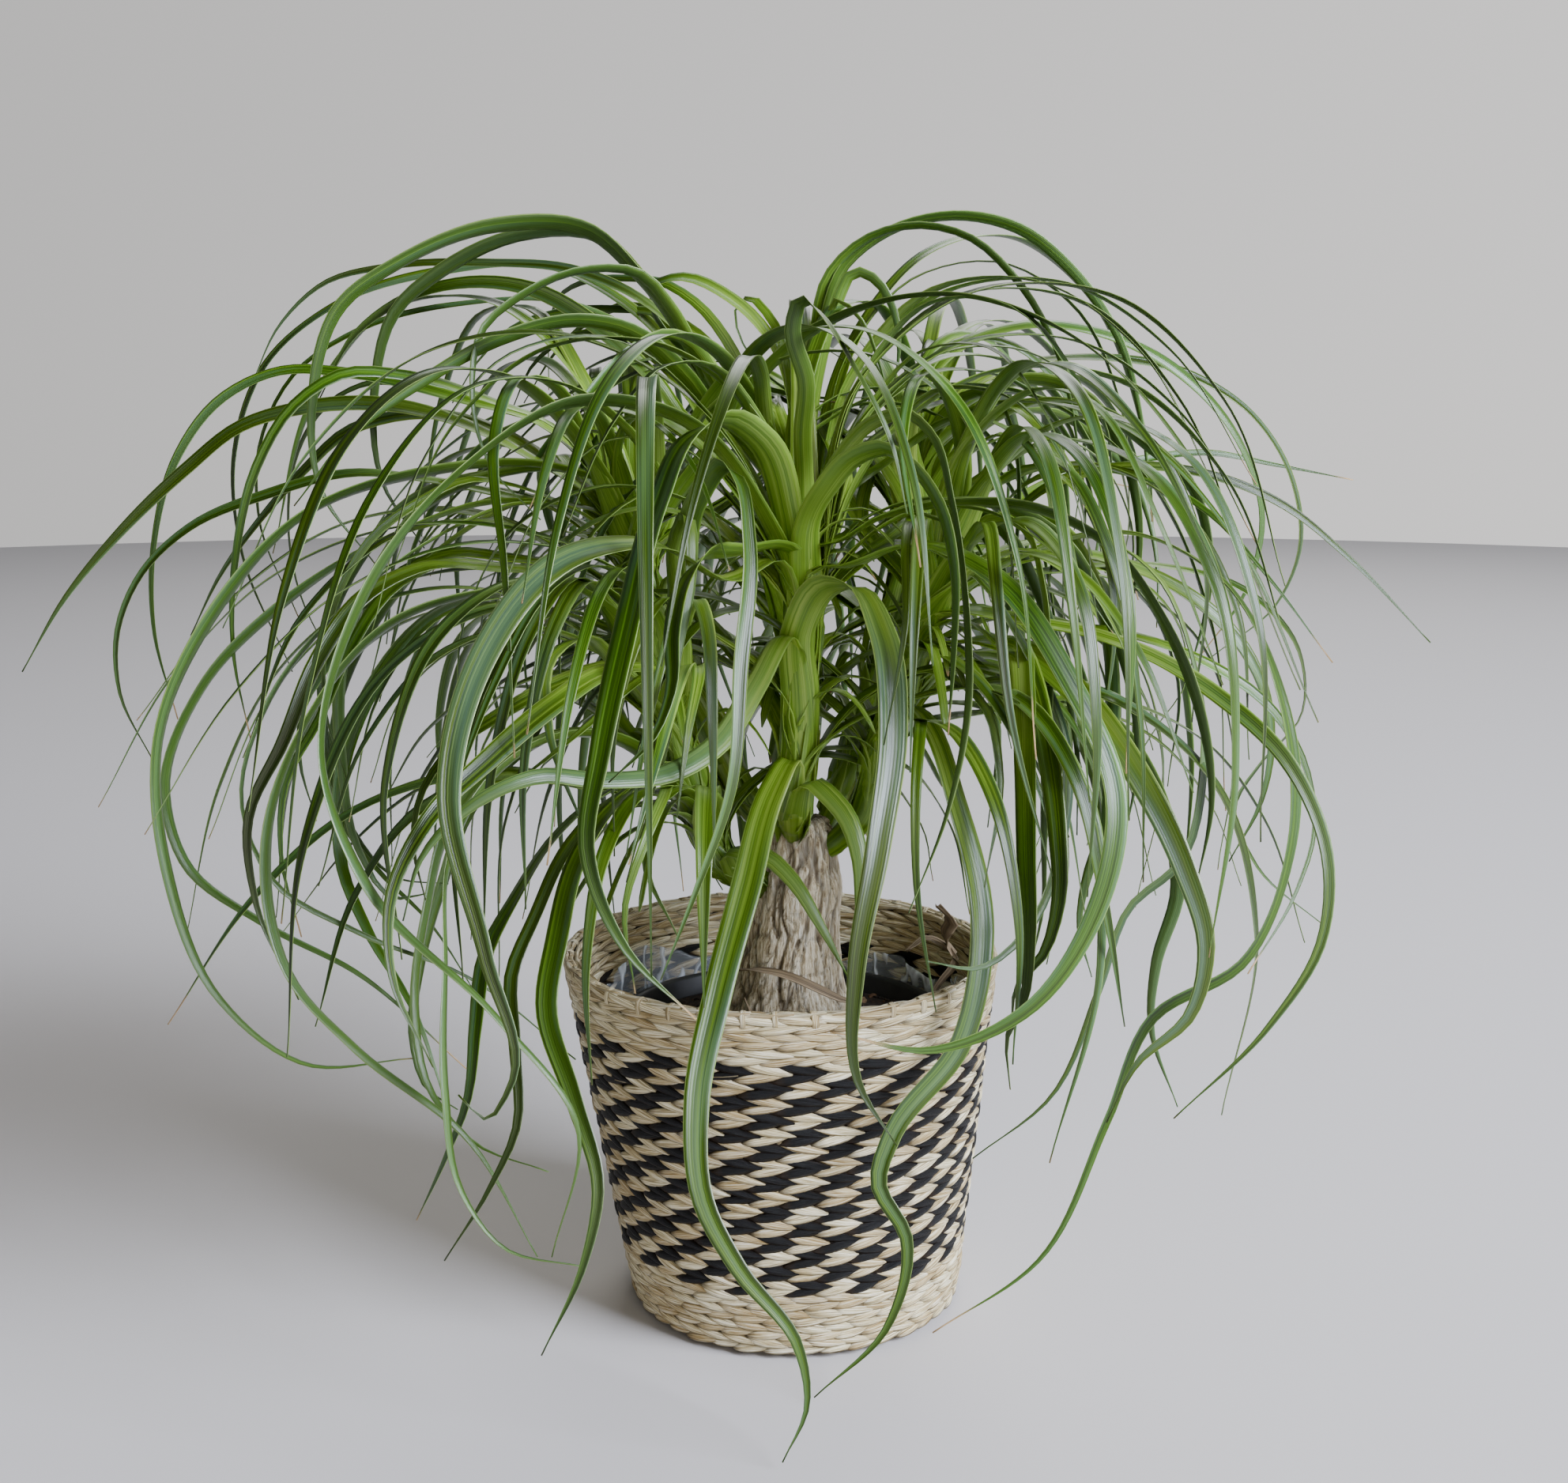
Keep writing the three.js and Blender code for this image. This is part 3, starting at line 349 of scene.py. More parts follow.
# a leaf's foot clasps the stem below where the leaf leaves it
sheath = {"length": 34 * mm, "width": 17 * mm, "wider": 1.15, "rows": (1.0, 0.45), "below": 4, "lowest": 2,
          "offStem": 0.4 * mm, "turnOver": -0.2}

# slimmer leaves beside the built ones: angles in degrees, sizes as shares
slimLook = {
    "perLeaf": 1.25,
    "tries": 8,
    "columns": 5,
    "step": 8.5 * mm,
    "turn": (9, 42),
    "across": (0.55, 0.93),
    "height": (0.7, 1.02),
    "bends": (0.6, 1.5),
    "bendStart": (-0.6, 0.6),
    "sway": (10 * mm, 38 * mm),
    "width": (0.58, 1.0),
}

# short inner leaves by rule: each clasps the stem, a golden turn round from the one before, and arches away
youngLook = {
    "count": 15,
    "tries": 5,
    "turn": 2.4,
    "stemShare": (0.3, 0.97),
    "length": (75 * mm, 175 * mm),
    "shorterAbove": 0.45,
    "width": (6 * mm, 10 * mm),
    "narrowing": 0.6,
    "rise": 0.56,
    "reach": 0.62,
    "reachFrom": 0.1,
    "reachPower": 1.35,
    "fall": 0.62,
    "offStem": 0.6 * mm,
    "points": 10,
}

# what added leaves keep clear of: the basket with some room round it, and the ground
keepOff = {"below": 200 * mm, "footRadius": 84 * mm, "widening": 26 / 184, "room": 12 * mm, "ground": 4 * mm}

# parts of the picture where no leaf by rule hangs: left, top, right, bottom, and the nearest depth in metres
openViews = [
    (925, 490, 1140, 900, -0.05),
    (915, 900, 1090, 1290, -0.04),
    (765, 1290, 1230, 1725, -0.06),
    (860, 0, 1035, 375, 9),
    (0, 0, 1984, 268, 9),
    (0, 0, 310, 440, 9),
    (0, 0, 190, 620, 9),
    (1460, 0, 1984, 420, 9),
    (1600, 0, 1984, 560, 9),
    (1690, 0, 1984, 1876, 9),
    (1240, 1500, 1984, 1876, 9),
    (0, 1380, 400, 1876, 9),
]
picture = {"width": 1984, "height": 1876}


def inOrder(verts):
    return sorted(verts, key=lambda v: v.index)


# the cross sections of every leaf in a shoot, foot first, walked ring by ring from its tip
def leafSections(nodeName):
    work = bmesh.new()
    work.from_mesh(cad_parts[nodeName].data)
    bmesh.ops.remove_doubles(work, verts=work.verts, dist=2e-6)
    work.verts.index_update()
    leaves = []
    for tip in [v for v in work.verts if len(v.link_edges) == 3]:
        seen = {tip}
        ring = inOrder(edge.other_vert(tip) for edge in tip.link_edges)
        rings = [[tip.co.copy()]]
        while len(ring) == 3:
            rings.append([v.co.copy() for v in ring])
            current = set(ring)
            following = {edge.other_vert(v) for v in ring for edge in v.link_edges} - current - seen
            seen |= current
            ring = inOrder(following)
        if len(rings) >= 5:
            leaves.append(rings[::-1])
    work.free()
    leaves.sort(key=lambda rings: tuple(round(c, 5) for c in rings[-1][0]))
    return leaves


# middle, sideways and upward directions and width at each section, foot first
def leafFrames(rings):
    middles, laterals, normals, widths = [], [], [], []
    last = None
    for ring in rings[:-1]:
        trios = [(ring[i], ring[j], ring[3 - i - j]) for i, j in ((0, 1), (0, 2), (1, 2))]
        a, b, keel = max(trios, key=lambda trio: (trio[0] - trio[1]).length)
        side = b - a
        if last is not None and side.dot(last) < 0:
            side = -side
        last = side
        middle = (a + b) / 2
        middles.append(middle)
        laterals.append(side.normalized())
        normals.append((middle - keel).normalized())
        widths.append(side.length)
    middles.append(rings[-1][0])
    laterals.append(laterals[-1])
    normals.append(normals[-1])
    widths.append(0.0)
    return [np.array(rows, dtype=float) for rows in (middles, laterals, normals)] + [np.array(widths)]


def stemLine(nodeName):
    points, radii = shootStems[nodeName]
    points = np.array(points, dtype=float) * mm
    knots = np.arange(len(points), dtype=float)
    at = np.linspace(0, len(points) - 1, stemLook["samples"])
    return splineThrough(points, knots, at), np.interp(at, knots, np.array(radii) * mm)


# adds the clasping foot: down the stem's surface from where the leaf leaves it
def withSheath(middles, laterals, normals, widths, line, radii):
    first = middles[0]
    nearest = int(np.argmin(np.linalg.norm(line - first, axis=1)))
    spacing = np.linalg.norm(line[1] - line[0])
    outward = first - line[nearest]
    along = unit(line[min(nearest + 1, len(line) - 1)] - line[max(nearest - 1, 0)])
    outward = unit(outward - along * outward.dot(along))
    feet, sides, faces, wide = [], [], [], []
    for share in sheath["rows"]:
        k = max(sheath["lowest"], nearest - sheath["below"] - int(sheath["length"] * share / spacing))
        feet.append(line[k] + outward * (radii[k] + sheath["offStem"]))
        sides.append(np.cross(along, -outward))
        faces.append(-outward)
        wide.append(max(widths.max() * sheath["wider"], sheath["width"]))
    if sides[0].dot(laterals[0]) < 0:
        sides = [-s for s in sides]
    if faces[0].dot(normals[0]) < sheath["turnOver"]:
        normals = -normals
    pairs = ((feet, middles), (sides, laterals), (faces, normals))
    return [np.vstack(pair) for pair in pairs] + [np.concatenate([wide, widths])]


# one blade: a shallow channel with thin edges, as points, faces and attributes
def bladeMesh(middles, laterals, normals, widths, chance, columns=7, step=6.5 * mm):
    pieces = np.maximum(1e-4, np.linalg.norm(np.diff(middles, axis=0), axis=1))
    knots = np.concatenate([[0], np.cumsum(pieces)])
    total = knots[-1]
    steps = max(bladeLook["leastSteps"], int(total / step))
    at = np.linspace(0, total, steps + 1)
    middle = splineThrough(middles, knots, at)
    along = unit(np.gradient(middle, at, axis=0))
    lateral = splineThrough(laterals, knots, at)
    lateral = unit(lateral - along * (lateral * along).sum(1, keepdims=True))
    facing = splineThrough(normals, knots, at)
    normal = np.cross(along, lateral)
    normal *= np.sign((normal * facing).sum(1, keepdims=True) + 1e-9)
    share = at / total
    width = np.interp(at, knots, widths)
    tipFade = np.clip((1 - share) / bladeLook["taper"], 0, 1) ** bladeLook["taperPower"]
    half = 0.5 * np.maximum(np.minimum(width, width.max() * tipFade), bladeLook["leastWidth"])
    across = np.linspace(-1, 1, columns)
    phase = chance.random() * bladeLook["ripplePhases"]
    turns = at[:, None] / bladeLook["rippleLength"] + phase + across[None, :] * bladeLook["rippleAcross"]
    waves = bladeLook["ripple"] * np.sin(turns) * across[None, :] ** 2
    clasp = np.clip(1 - share / bladeLook["flare"], 0, 1)
    depth = half * (bladeLook["channel"] + bladeLook["clasp"] * clasp)
    lift = depth[:, None] * np.abs(across)[None, :] ** bladeLook["channelPower"]
    lift = lift + waves * np.clip(half / bladeLook["fullRipple"], 0, 1)[:, None]
    sideways = lateral[:, None] * (half[:, None] * across)[..., None]
    upper = middle[:, None] + sideways + normal[:, None] * lift[..., None]
    thin = bladeLook["thickness"] * (1 - bladeLook["thinMargin"] * across**2)
    lower = upper - normal[:, None] * thin[None, :, None]
    ring = np.concatenate([upper, lower[:, ::-1]], axis=1)
    count = ring.shape[1]
    points = ring.reshape(-1, 3)
    faces = tubeFaces(steps + 1, count)
    attributes = {
        "across": np.tile(np.concatenate([across, across[::-1]]), steps + 1),
        "along": np.repeat(share, count),
        "run": np.repeat(at, count),
        "under": np.tile(np.concatenate([np.zeros(columns), np.ones(columns)]), steps + 1),
        "shade": np.full(len(points), chance.random()),
    }
    if np.dot(np.cross(lateral[0], normal[0]), along[0]) > 0:
        faces = [face[::-1] for face in faces]
    return points, faces, attributes


# a slimmer leaf beside another: turned about the upright through its foot and drawn in
def slimLeaf(frames, chance):
    middles, laterals, normals, widths = frames
    angle = chance.choice((-1, 1)) * math.radians(chance.uniform(*slimLook["turn"]))
    turn = np.array(Matrix.Rotation(angle, 3, "Z"))
    foot = middles[0]
    size = np.array([chance.uniform(*slimLook["across"])] * 2 + [chance.uniform(*slimLook["height"])])
    moved = foot + ((middles - foot) @ turn.T) * size
    share = np.linspace(0, 1, len(moved))[:, None]
    sideways = unit(np.cross(moved[-1] - foot, np.array([0.0, 0, 1])))
    waves = chance.uniform(*slimLook["bends"]) * math.pi
    bend = np.sin(waves * share + chance.uniform(*slimLook["bendStart"]))
    moved = moved + sideways * bend * share**2 * chance.uniform(*slimLook["sway"]) * chance.choice((-1, 1))
    return moved, laterals @ turn.T, normals @ turn.T, widths * chance.uniform(*slimLook["width"])


def youngLeaf(line, radii, turn, chance):
    share = chance.uniform(*youngLook["stemShare"])
    k = int(share * (len(line) - 1))
    along = unit(line[min(k + 2, len(line) - 1)] - line[max(k - 2, 0)])
    side = unit(np.cross(along, np.array([1.0, 0.3, 0.0])))
    outward = side * math.cos(turn) + np.cross(along, side) * math.sin(turn)
    length = chance.uniform(*youngLook["length"]) * (1 - youngLook["shorterAbove"] * share)
    s = np.linspace(0, 1, youngLook["points"])[:, None]
    away = youngLook["reach"] * np.maximum(0, s - youngLook["reachFrom"]) ** youngLook["reachPower"]
    arch = along * youngLook["rise"] * s + outward * away - np.array([0, 0, youngLook["fall"]]) * s**3
    middles = line[k] + outward * (radii[k] + youngLook["offStem"]) + length * arch
    lateral = np.cross(along, outward)
    facing = np.cross(unit(np.gradient(middles, axis=0)), lateral)
    if facing[0].dot(outward) > 0:
        facing = -facing
    widths = chance.uniform(*youngLook["width"]) * (1 - youngLook["narrowing"] * s[:, 0])
    return middles, np.tile(lateral, (len(s), 1)), facing, widths


def insideHolder(middles):
    radius = np.hypot(middles[:, 0], middles[:, 1])
    wall = keepOff["footRadius"] + keepOff["widening"] * middles[:, 2]
    inside = (middles[:, 2] < keepOff["below"]) & (radius < wall + keepOff["room"])
    return bool(np.any(inside)) or bool(np.any(middles[:, 2] < keepOff["ground"]))


def coversOpenView(middles):
    pitch = math.radians(stage["pitchDown"])
    offset = middles - np.array(stage["eye"])
    away = offset[:, 1] * math.cos(pitch) - offset[:, 2] * math.sin(pitch)
    upward = offset[:, 1] * math.sin(pitch) + offset[:, 2] * math.cos(pitch)
    focal = picture["width"] * stage["lens"] / stage["sensor"]
    x = picture["width"] / 2 + focal * offset[:, 0] / away
    y = picture["height"] / 2 - focal * upward / away
    return any(bool(np.any((x > left) & (x < right) & (y > top) & (y < bottom) & (middles[:, 1] < depth)))
               for left, top, right, bottom, depth in openViews)


def hangsFree(leaf):
    return not insideHolder(leaf[0]) and not coversOpenView(leaf[0])


# satin strap leaf: pleated bands and fine lengthwise veins, pale bluish mid-leaf patches that are partly
# glaucous bloom and partly painted sheen, pale thin margins, yellow-green foot, dry tip
def makeLeafMaterial():
    material, tree, shader = newMaterial("satinStrapLeaf", Roughness=0.31, IOR=1.45, Specular_IOR_Level=0.44)
    keys = ("across", "along", "run", "under", "shade")
    across, along, run, under, shade = (addAttribute(tree, key) for key in keys)

    def streaks(acrossCount, perMetre, detail):
        return addStreaks((across, run, shade), (acrossCount, perMetre, 40.0), detail, 0.6)

    def risesWith(value, low, high, top):
        return addRange(value, (low, high), (0.0, top))

    bands, fine, slow = streaks(4.2, 1.2, 1.0), streaks(19.0, 1.5, 3.0), streaks(0.4, 6.0, 2.0)
    veins = addMath("SINE", times(across, 27.0))
    mixed = plus(times(bands, 0.3), plus(times(fine, 0.36), times(slow, 0.34)))
    green = addRamp(mixed, [(0.34, "#142400"), (0.45, "#223a02"), (0.54, "#3b5b0a"), (0.66, "#60821c")])
    toned = addNode(tree, "ShaderNodeHueSaturation", {"Saturation": 1.0, "Fac": 1.0}, {
        "Hue": plus(0.478, times(shade, 0.026)),
        "Value": plus(0.54, times(shade, 0.6)), "Color": green}).outputs[0]
    lined = mixColours(risesWith(veins, 0.2, 1.0, 0.38), toned, linearColour("#122602"))
    # pale bluish patches rising from a sixth of the way along: partly the leaf's glaucous bloom, partly
    # painted sheen
    bloomAndSheen = times(risesWith(streaks(0.8, 6.0, 1.0), 0.5, 0.7, 0.13), risesWith(along, 0.16, 0.4, 1.0))
    withBloomAndSheen = mixColours(bloomAndSheen, lined, linearColour("#7aa598"))
    margin = addMath("GREATER_THAN", addMath("ABSOLUTE", across), 0.94)
    margined = mixColours(times(margin, 0.3), withBloomAndSheen, linearColour("#b5cc74"))
    height = addNode(tree, "ShaderNodeSeparateXYZ", links={"Vector": objectPlace(tree)}).outputs["Z"]
    younger = plus(0.4, risesWith(height, 0.25, 0.36, 0.54))
    nearFoot = times(younger, minus(1.0, risesWith(run, 0.04, 0.185, 1.0)))
    footGreen = addRamp(mixed, [(0.4, "#527714"), (0.5, "#84ab2b"), (0.6, "#b8d060")])
    footed = mixColours(nearFoot, margined, footGreen)
    below = mixColours(times(under, 0.3), footed, linearColour("#4a6a30"))
    ragged = plus(along, times(minus(fine, 0.5), 0.1))
    dryStart = minus(1.02, times(addMath("POWER", shade, 3.0), 0.07))
    tipped = mixColours(addMath("GREATER_THAN", ragged, dryStart), below, linearColour("#a58a5f"))
    finishShader(shader, tipped, minus(mixed, times(veins, 0.14)), 0.00025, 0.45)
    return material


leafMaterial = makeLeafMaterial()


# the stem with its overlapping pale leaf scars, as rings along its line
def stemMesh(line, radii, chance):
    around, rings = stemLook["around"], len(line)
    points = []
    for k in range(rings):
        along = unit(line[min(k + 1, rings - 1)] - line[max(k - 1, 0)])
        across = unit(np.array([1.0, 0, 0]) - along * along[0])
        away = np.cross(along, across)
        scar = stemLook["scar"] * ((k % 4) / 3 - 0.4)
        for angle in turns(around):
            radius = radii[k] + scar + stemLook["wave"] * math.sin(3 * angle + k)
            points.append(line[k] + radius * (across * math.cos(angle) + away * math.sin(angle)))
    count = len(points)
    share = np.repeat(np.linspace(*stemLook["footShare"], rings), around)
    attributes = {"across": np.tile(np.linspace(-0.8, 0.8, around), rings), "along": share, "run": share,
                  "under": np.zeros(count), "shade": np.full(count, chance.random())}
    return points, tubeFaces(rings, around), attributes


def makeShoot(nodeName, seed):
    chance = random.Random(seed)
    line, radii = stemLine(nodeName)
    parts = [stemMesh(line, radii, chance)]
    columns, step = slimLook["columns"], slimLook["step"]
    for rings in leafSections(nodeName):
        frames = leafFrames(rings)
        parts.append(bladeMesh(*withSheath(*frames, line, radii), chance))
        for _ in range(int(slimLook["perLeaf"] + chance.random())):
            for _ in range(slimLook["tries"]):
                slim = slimLeaf(frames, chance)
                if hangsFree(slim):
                    parts.append(bladeMesh(*withSheath(*slim, line, radii), chance, columns, step))
                    break
    for order in range(youngLook["count"]):
        for attempt in range(youngLook["tries"]):
            young = youngLeaf(line, radii, order * youngLook["turn"] + attempt, chance)
            if hangsFree(young):
                parts.append(bladeMesh(*withSheath(*young, line, radii), chance, columns))
                break
    piece = gatherParts(nodeName.replace("_", "") + "Leaves", parts, leafMaterial)
    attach(piece, "root")
    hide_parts(nodeName)
    print(nodeName, len(parts) - 1, "leaves,", len(piece.data.polygons), "faces")


for order, nodeName in enumerate(shootStems):
    makeShoot(nodeName, 100 + order)
print("leaves done")


basket = {
    "height": 184 * mm,
    "rimRadius": 110 * mm,
    "footRadius": 84 * mm,
    "flatRadius": 77 * mm,
    "bevel": 9 * mm,
    "bevelPower": 2.2,
    "lean": -8 * mm,  # the rim's middle stands this far along X from the foot's middle
    "wall": 5 * mm,
    "stakes": 38,
    "row": 4.1 * mm,
    "slant": 10.5,  # degrees, down to the right in one row and up in the next
    "plainSlant": 0.55,
    "plainTop": 6,  # rows of undyed strands under the rim
    "plainFoot": 8,
    "liningRows": 17,
    "inset": 0.4 * mm,
}

# one strand where it shows, and how far strands may differ: angles in degrees, sizes as shares
stitch = {
    "length": 25 * mm,
    "width": 5.5 * mm,
    "thickness": 2.0 * mm,
    "radius": 97 * mm,  # the basket's radius where a strand has this length
    "along": 9,
    "across": 5,
    "endWidth": 0.16,
    "bulge": (0.85, 0.75),
    "tuckStart": (0.9 * mm, 0.25, 1.5),  # depth, share of the length, power
    "tuckEnd": (0.35 * mm, 0.15),
    "swell": (0.08, 0.88),
    "crown": 0.92,
    "back": 0.3,
    "turn": 0.05,
    "tilt": 2.2,
    "shift": 0.25 * mm,
    "sizes": ((0.93, 1.08), (0.86, 1.14), (0.85, 1.2)),
}
footWeave = {"rounds": 9, "pitch": 8.2 * mm, "strand": 15 * mm, "fewest": 6, "height": 1.9 * mm,
             "flat": (1.6, 0.5), "shortest": 0.35, "fullFrom": 70 * mm}
backingLook = {"around": 76, "steps": 12, "foot": 0.8 * mm, "belowRim": 1.2 * mm, "outside": 1.7 * mm,
               "inside": 1.2 * mm, "floor": 4.2 * mm, "middle": 0.9 * mm}

# the rim, in millimetres: how the stakes fold over it, outwards and upwards, and the strands they hold down
rimLook = {
    "fold": [(0.1, -6.5), (0.9, -3.2), (0.7, -0.6), (-0.8, 0.9), (-2.6, 1.1), (-4.2, -0.3), (-5, -3.4),
             (-4.4, -7)],
    "foldTurn": 0.12,
    "foldLean": 0.02,
    "foldSizes": (0.8, 1.25),
    "foldWidth": 3.4 * mm,
    "foldThickness": 0.9 * mm,
    "held": [(1.0, -0.6), (3.4, -0.9)],
    "heldWave": (0.5, 0.54),
    "heldWidth": 2.6 * mm,
    "heldThickness": 2.2 * mm,
    "heldOverlap": (0.03, 0.05),
    "heldPoints": 9,
    "looseEnds": 22,
    "loosePoints": 7,
    "looseReach": 90 * mm,
    "looseBelow": 2 * mm,
    "looseLength": (6, 26),
    "looseLift": (0.6, 3.2),
    "looseDroop": (-6, 5),
    "looseWidth": (0.35, 0.8),
    "looseThickness": 0.4 * mm,
    "looseOff": 0.6 * mm,
    "strandSides": 8,
    "runs": (0.25, 0.85),
}


def basketRadius(z):
    radius = basket["footRadius"] + (basket["rimRadius"] - basket["footRadius"]) * z / basket["height"]
    low = min(1, max(0, 1 - z / basket["bevel"]))
    return radius - (basket["footRadius"] - basket["flatRadius"]) * low ** basket["bevelPower"]


def basketMiddle(z):
    return basket["lean"] * z / basket["height"]


def roundRing(around, radius, z):
    return [polar(angle, radius, z, basketMiddle(z)) for angle in turns(around)]


# one woven strand where it shows: a pointed, bulging leaf of fibre, its ends bent in behind its neighbours
def makeStitch(name, bend):
    along, across, thickness = stitch["along"], stitch["across"], stitch["thickness"]
    shift, power = stitch["bulge"]
    swellStart, swellRun = stitch["swell"]
    startDepth, startShare, startPower = stitch["tuckStart"]
    endDepth, endShare = stitch["tuckEnd"]
    points, faces, runs, sides = [], [], [], []
    for i in range(along):
        u = i / (along - 1)
        fullness = stitch["endWidth"] + (1 - stitch["endWidth"]) * math.sin(math.pi * u**shift) ** power
        half = 0.5 * stitch["width"] * fullness
        x = (u - 0.5) * stitch["length"]
        sink = bend * x * x + startDepth * max(0, 1 - u / startShare) ** startPower
        sink += endDepth * max(0, (u - 1 + endShare) / endShare)
        swell = thickness * math.sqrt(math.sin(math.pi * (swellStart + swellRun * u)))
        for j in range(across):
            v = -1 + 2 * j / (across - 1)
            points.append((x, v * half, swell * math.sqrt(1 - stitch["crown"] * v * v) - sink))
            sides.append(v)
        points.append((x, 0, -stitch["back"] * thickness - sink))
        sides.append(0)
        runs += [u] * (across + 1)
    ring = across + 1
    for i in range(along - 1):
        for j in range(ring):
            a, b = i * ring + j, i * ring + (j + 1) % ring
            faces.append((a, a + ring, b + ring, b))
    faces.append(tuple(range(ring)))
    faces.append(tuple((along - 1) * ring + j for j in range(ring))[::-1])
    return meshObject(name, points, faces, None, {"strandRun": runs, "strandSide": sides})


# sets a copy of one mesh, which is then removed, on each row's place, turned and sized, as one plain mesh
def growCopies(name, rows, copy, material):
    mesh = bpy.data.meshes.new(name + "Points")
    mesh.from_pydata([row["place"] for row in rows], [], [])
    for key in ("turn", "size"):
        vectors = np.array([row[key] for row in rows], dtype=np.float32).ravel()
        mesh.attributes.new(key, "FLOAT_VECTOR", "POINT").data.foreach_set("vector", vectors)
    for key in ("shade", "dyed"):
        if key in rows[0]:
            addFloats(mesh, key, [row[key] for row in rows])
    holder = linked(name + "Points", mesh)

    tree = bpy.data.node_groups.new(name + "Nodes", "GeometryNodeTree")
    for label, kind in (("Geometry", "Geometry"), ("Copy", "Object"), ("Material", "Material")):
        tree.interface.new_socket(label, in_out="INPUT", socket_type="NodeSocket" + kind)
    tree.interface.new_socket("Geometry", in_out="OUTPUT", socket_type="NodeSocketGeometry")
    entry = addNode(tree, "NodeGroupInput").outputs
    info = addNode(tree, "GeometryNodeObjectInfo", links={"Object": entry["Copy"]})
    turn, size = (addNode(tree, "GeometryNodeInputNamedAttribute", {"Name": key}, data_type="FLOAT_VECTOR")
                  for key in ("turn", "size"))
    rotation = addNode(tree, "FunctionNodeEulerToRotation", links={"Euler": turn.outputs["Attribute"]})
    instances = addNode(tree, "GeometryNodeInstanceOnPoints", links={
        "Points": entry["Geometry"], "Instance": info.outputs["Geometry"],
        "Rotation": rotation.outputs["Rotation"], "Scale": size.outputs["Attribute"]})
    real = addNode(tree, "GeometryNodeRealizeInstances", links={"Geometry": instances.outputs["Instances"]})
    links = {"Geometry": real.outputs["Geometry"], "Material": entry["Material"]}
    coloured = addNode(tree, "GeometryNodeSetMaterial", links=links)
    addNode(tree, "NodeGroupOutput", links={"Geometry": coloured.outputs["Geometry"]})

    modifier = holder.modifiers.new("copies", "NODES")
    modifier.node_group = tree
    sockets = {item.name: item.identifier for item in tree.interface.items_tree if item.in_out == "INPUT"}
    modifier[sockets["Copy"]] = copy
    modifier[sockets["Material"]] = material
    grown = bpy.data.meshes.new_from_object(holder.evaluated_get(bpy.context.evaluated_depsgraph_get()))
    grown.name = name
    if not grown.materials:
        grown.materials.append(material)
    for used in (holder, copy):
        bpy.data.objects.remove(used)
    return linked(name, grown)


# dried seagrass, matt with a faint waxy gloss: striated strands, natural straw or dyed black, with painted
# shade at the tucked ends and along the flanks
def makeSeagrassMaterial():
    material, tree, shader = newMaterial("driedSeagrass", Roughness=0.5, Specular_IOR_Level=0.25)
    run, side, shade, dyed = (addAttribute(tree, key) for key in ("strandRun", "strandSide", "shade", "dyed"))
    fibres = addStreaks((run, side, shade), (1.5, 5.5, 90.0), 4.0, 0.62)
    colours = [(0.32, "#6f5c38"), (0.43, "#b39b66"), (0.53, "#dccb9c"), (0.66, "#fbf3da")]
    straw = addRamp(fibres, colours)
    toned = addNode(tree, "ShaderNodeHueSaturation", {"Fac": 1.0}, {
        "Hue": plus(0.492, times(shade, 0.02)),
        "Saturation": minus(1.08, times(shade, 0.3)),
        "Value": plus(0.72, times(shade, 0.4)), "Color": straw}).outputs[0]
    black = addRamp(fibres, [(0.3, "#010101"), (0.55, "#050505"), (0.8, "#1b1a1e")])
    strand = mixColours(dyed, toned, black)
    # painted shade: dark brown over the first quarter of each strand, where it tucks in behind its neighbours
    tuckedEndShade = addRange(run, (0.02, 0.26), (0.8, 0.0))
    withEndShade = mixColours(tuckedEndShade, strand, linearColour("#33230f"))
    # painted shade: dark brown along each strand's edges, where it meets its neighbours
    flankShade = times(addMath("POWER", addMath("ABSOLUTE", side), 5.0), 0.6)
    shaded = mixColours(flankShade, withEndShade, linearColour("#3b2812"))
    finishShader(shader, shaded, fibres, 0.0011)
    return material


# painted shade: the weave's inside, seen between strands, in the near-black brown of seagrass in shadow
def makeBackingMaterial():
    material, tree, shader = newMaterial("shadedSeagrass", Roughness=0.85)
    grain = addNoise(objectPlace(tree), 260.0, 3.0)
    finishShader(shader, addRamp(grain, [(0.35, "#140e08"), (0.7, "#382a1a")]))
    return material


# place, turn, size and attributes of every stitch of a wall, row by row from the rim down
def wallStitches(rowCount, outside, chance):
    stitches = []
    total = int(basket["height"] / basket["row"])
    shift = stitch["shift"]
    for row in range(rowCount):
        z = basket["height"] - basket["row"] * (row + 0.6)
        slope = math.atan2(basketRadius(z + mm) - basketRadius(z - mm), 2 * mm)
        radius = basketRadius(z) + (-basket["inset"] if outside else basket["inset"] - basket["wall"])
        plain = row < basket["plainTop"] or row >= total - basket["plainFoot"]
        slant = math.radians(basket["slant"] if row % 2 == outside else -basket["slant"])
        slant *= basket["plainSlant"] if plain else 1
        stagger = 0.5 * ((row + 1) // 2 % 2) if plain else 0
        pair = (row - basket["plainTop"]) // 2
        for column in range(basket["stakes"]):
            angle = column + stagger + chance.uniform(-stitch["turn"], stitch["turn"])
            angle *= fullTurn / basket["stakes"]
            dyed = 0.0 if plain else float((column + pair) % 2)
            tilt = slant + math.radians(chance.uniform(-stitch["tilt"], stitch["tilt"]))
            radial = radius + chance.uniform(-shift, shift)
            place = polar(angle, radial, z + chance.uniform(-shift, shift), basketMiddle(z))
            facing = (angle if outside else angle + math.pi) + math.pi / 2
            upright = math.pi / 2 + (-slope if outside else slope)
            matrix = (Matrix.Rotation(facing, 3, "Z") @ Matrix.Rotation(upright, 3, "X")
                      @ Matrix.Rotation(tilt, 3, "Z"))
            length, width, height = (chance.uniform(*span) for span in stitch["sizes"])
            size = (basketRadius(z) / stitch["radius"] * length, width, height)
            stitches.append({"place": place, "turn": tuple(matrix.to_euler()), "size": size,
                             "shade": chance.random(), "dyed": dyed})
    return stitches


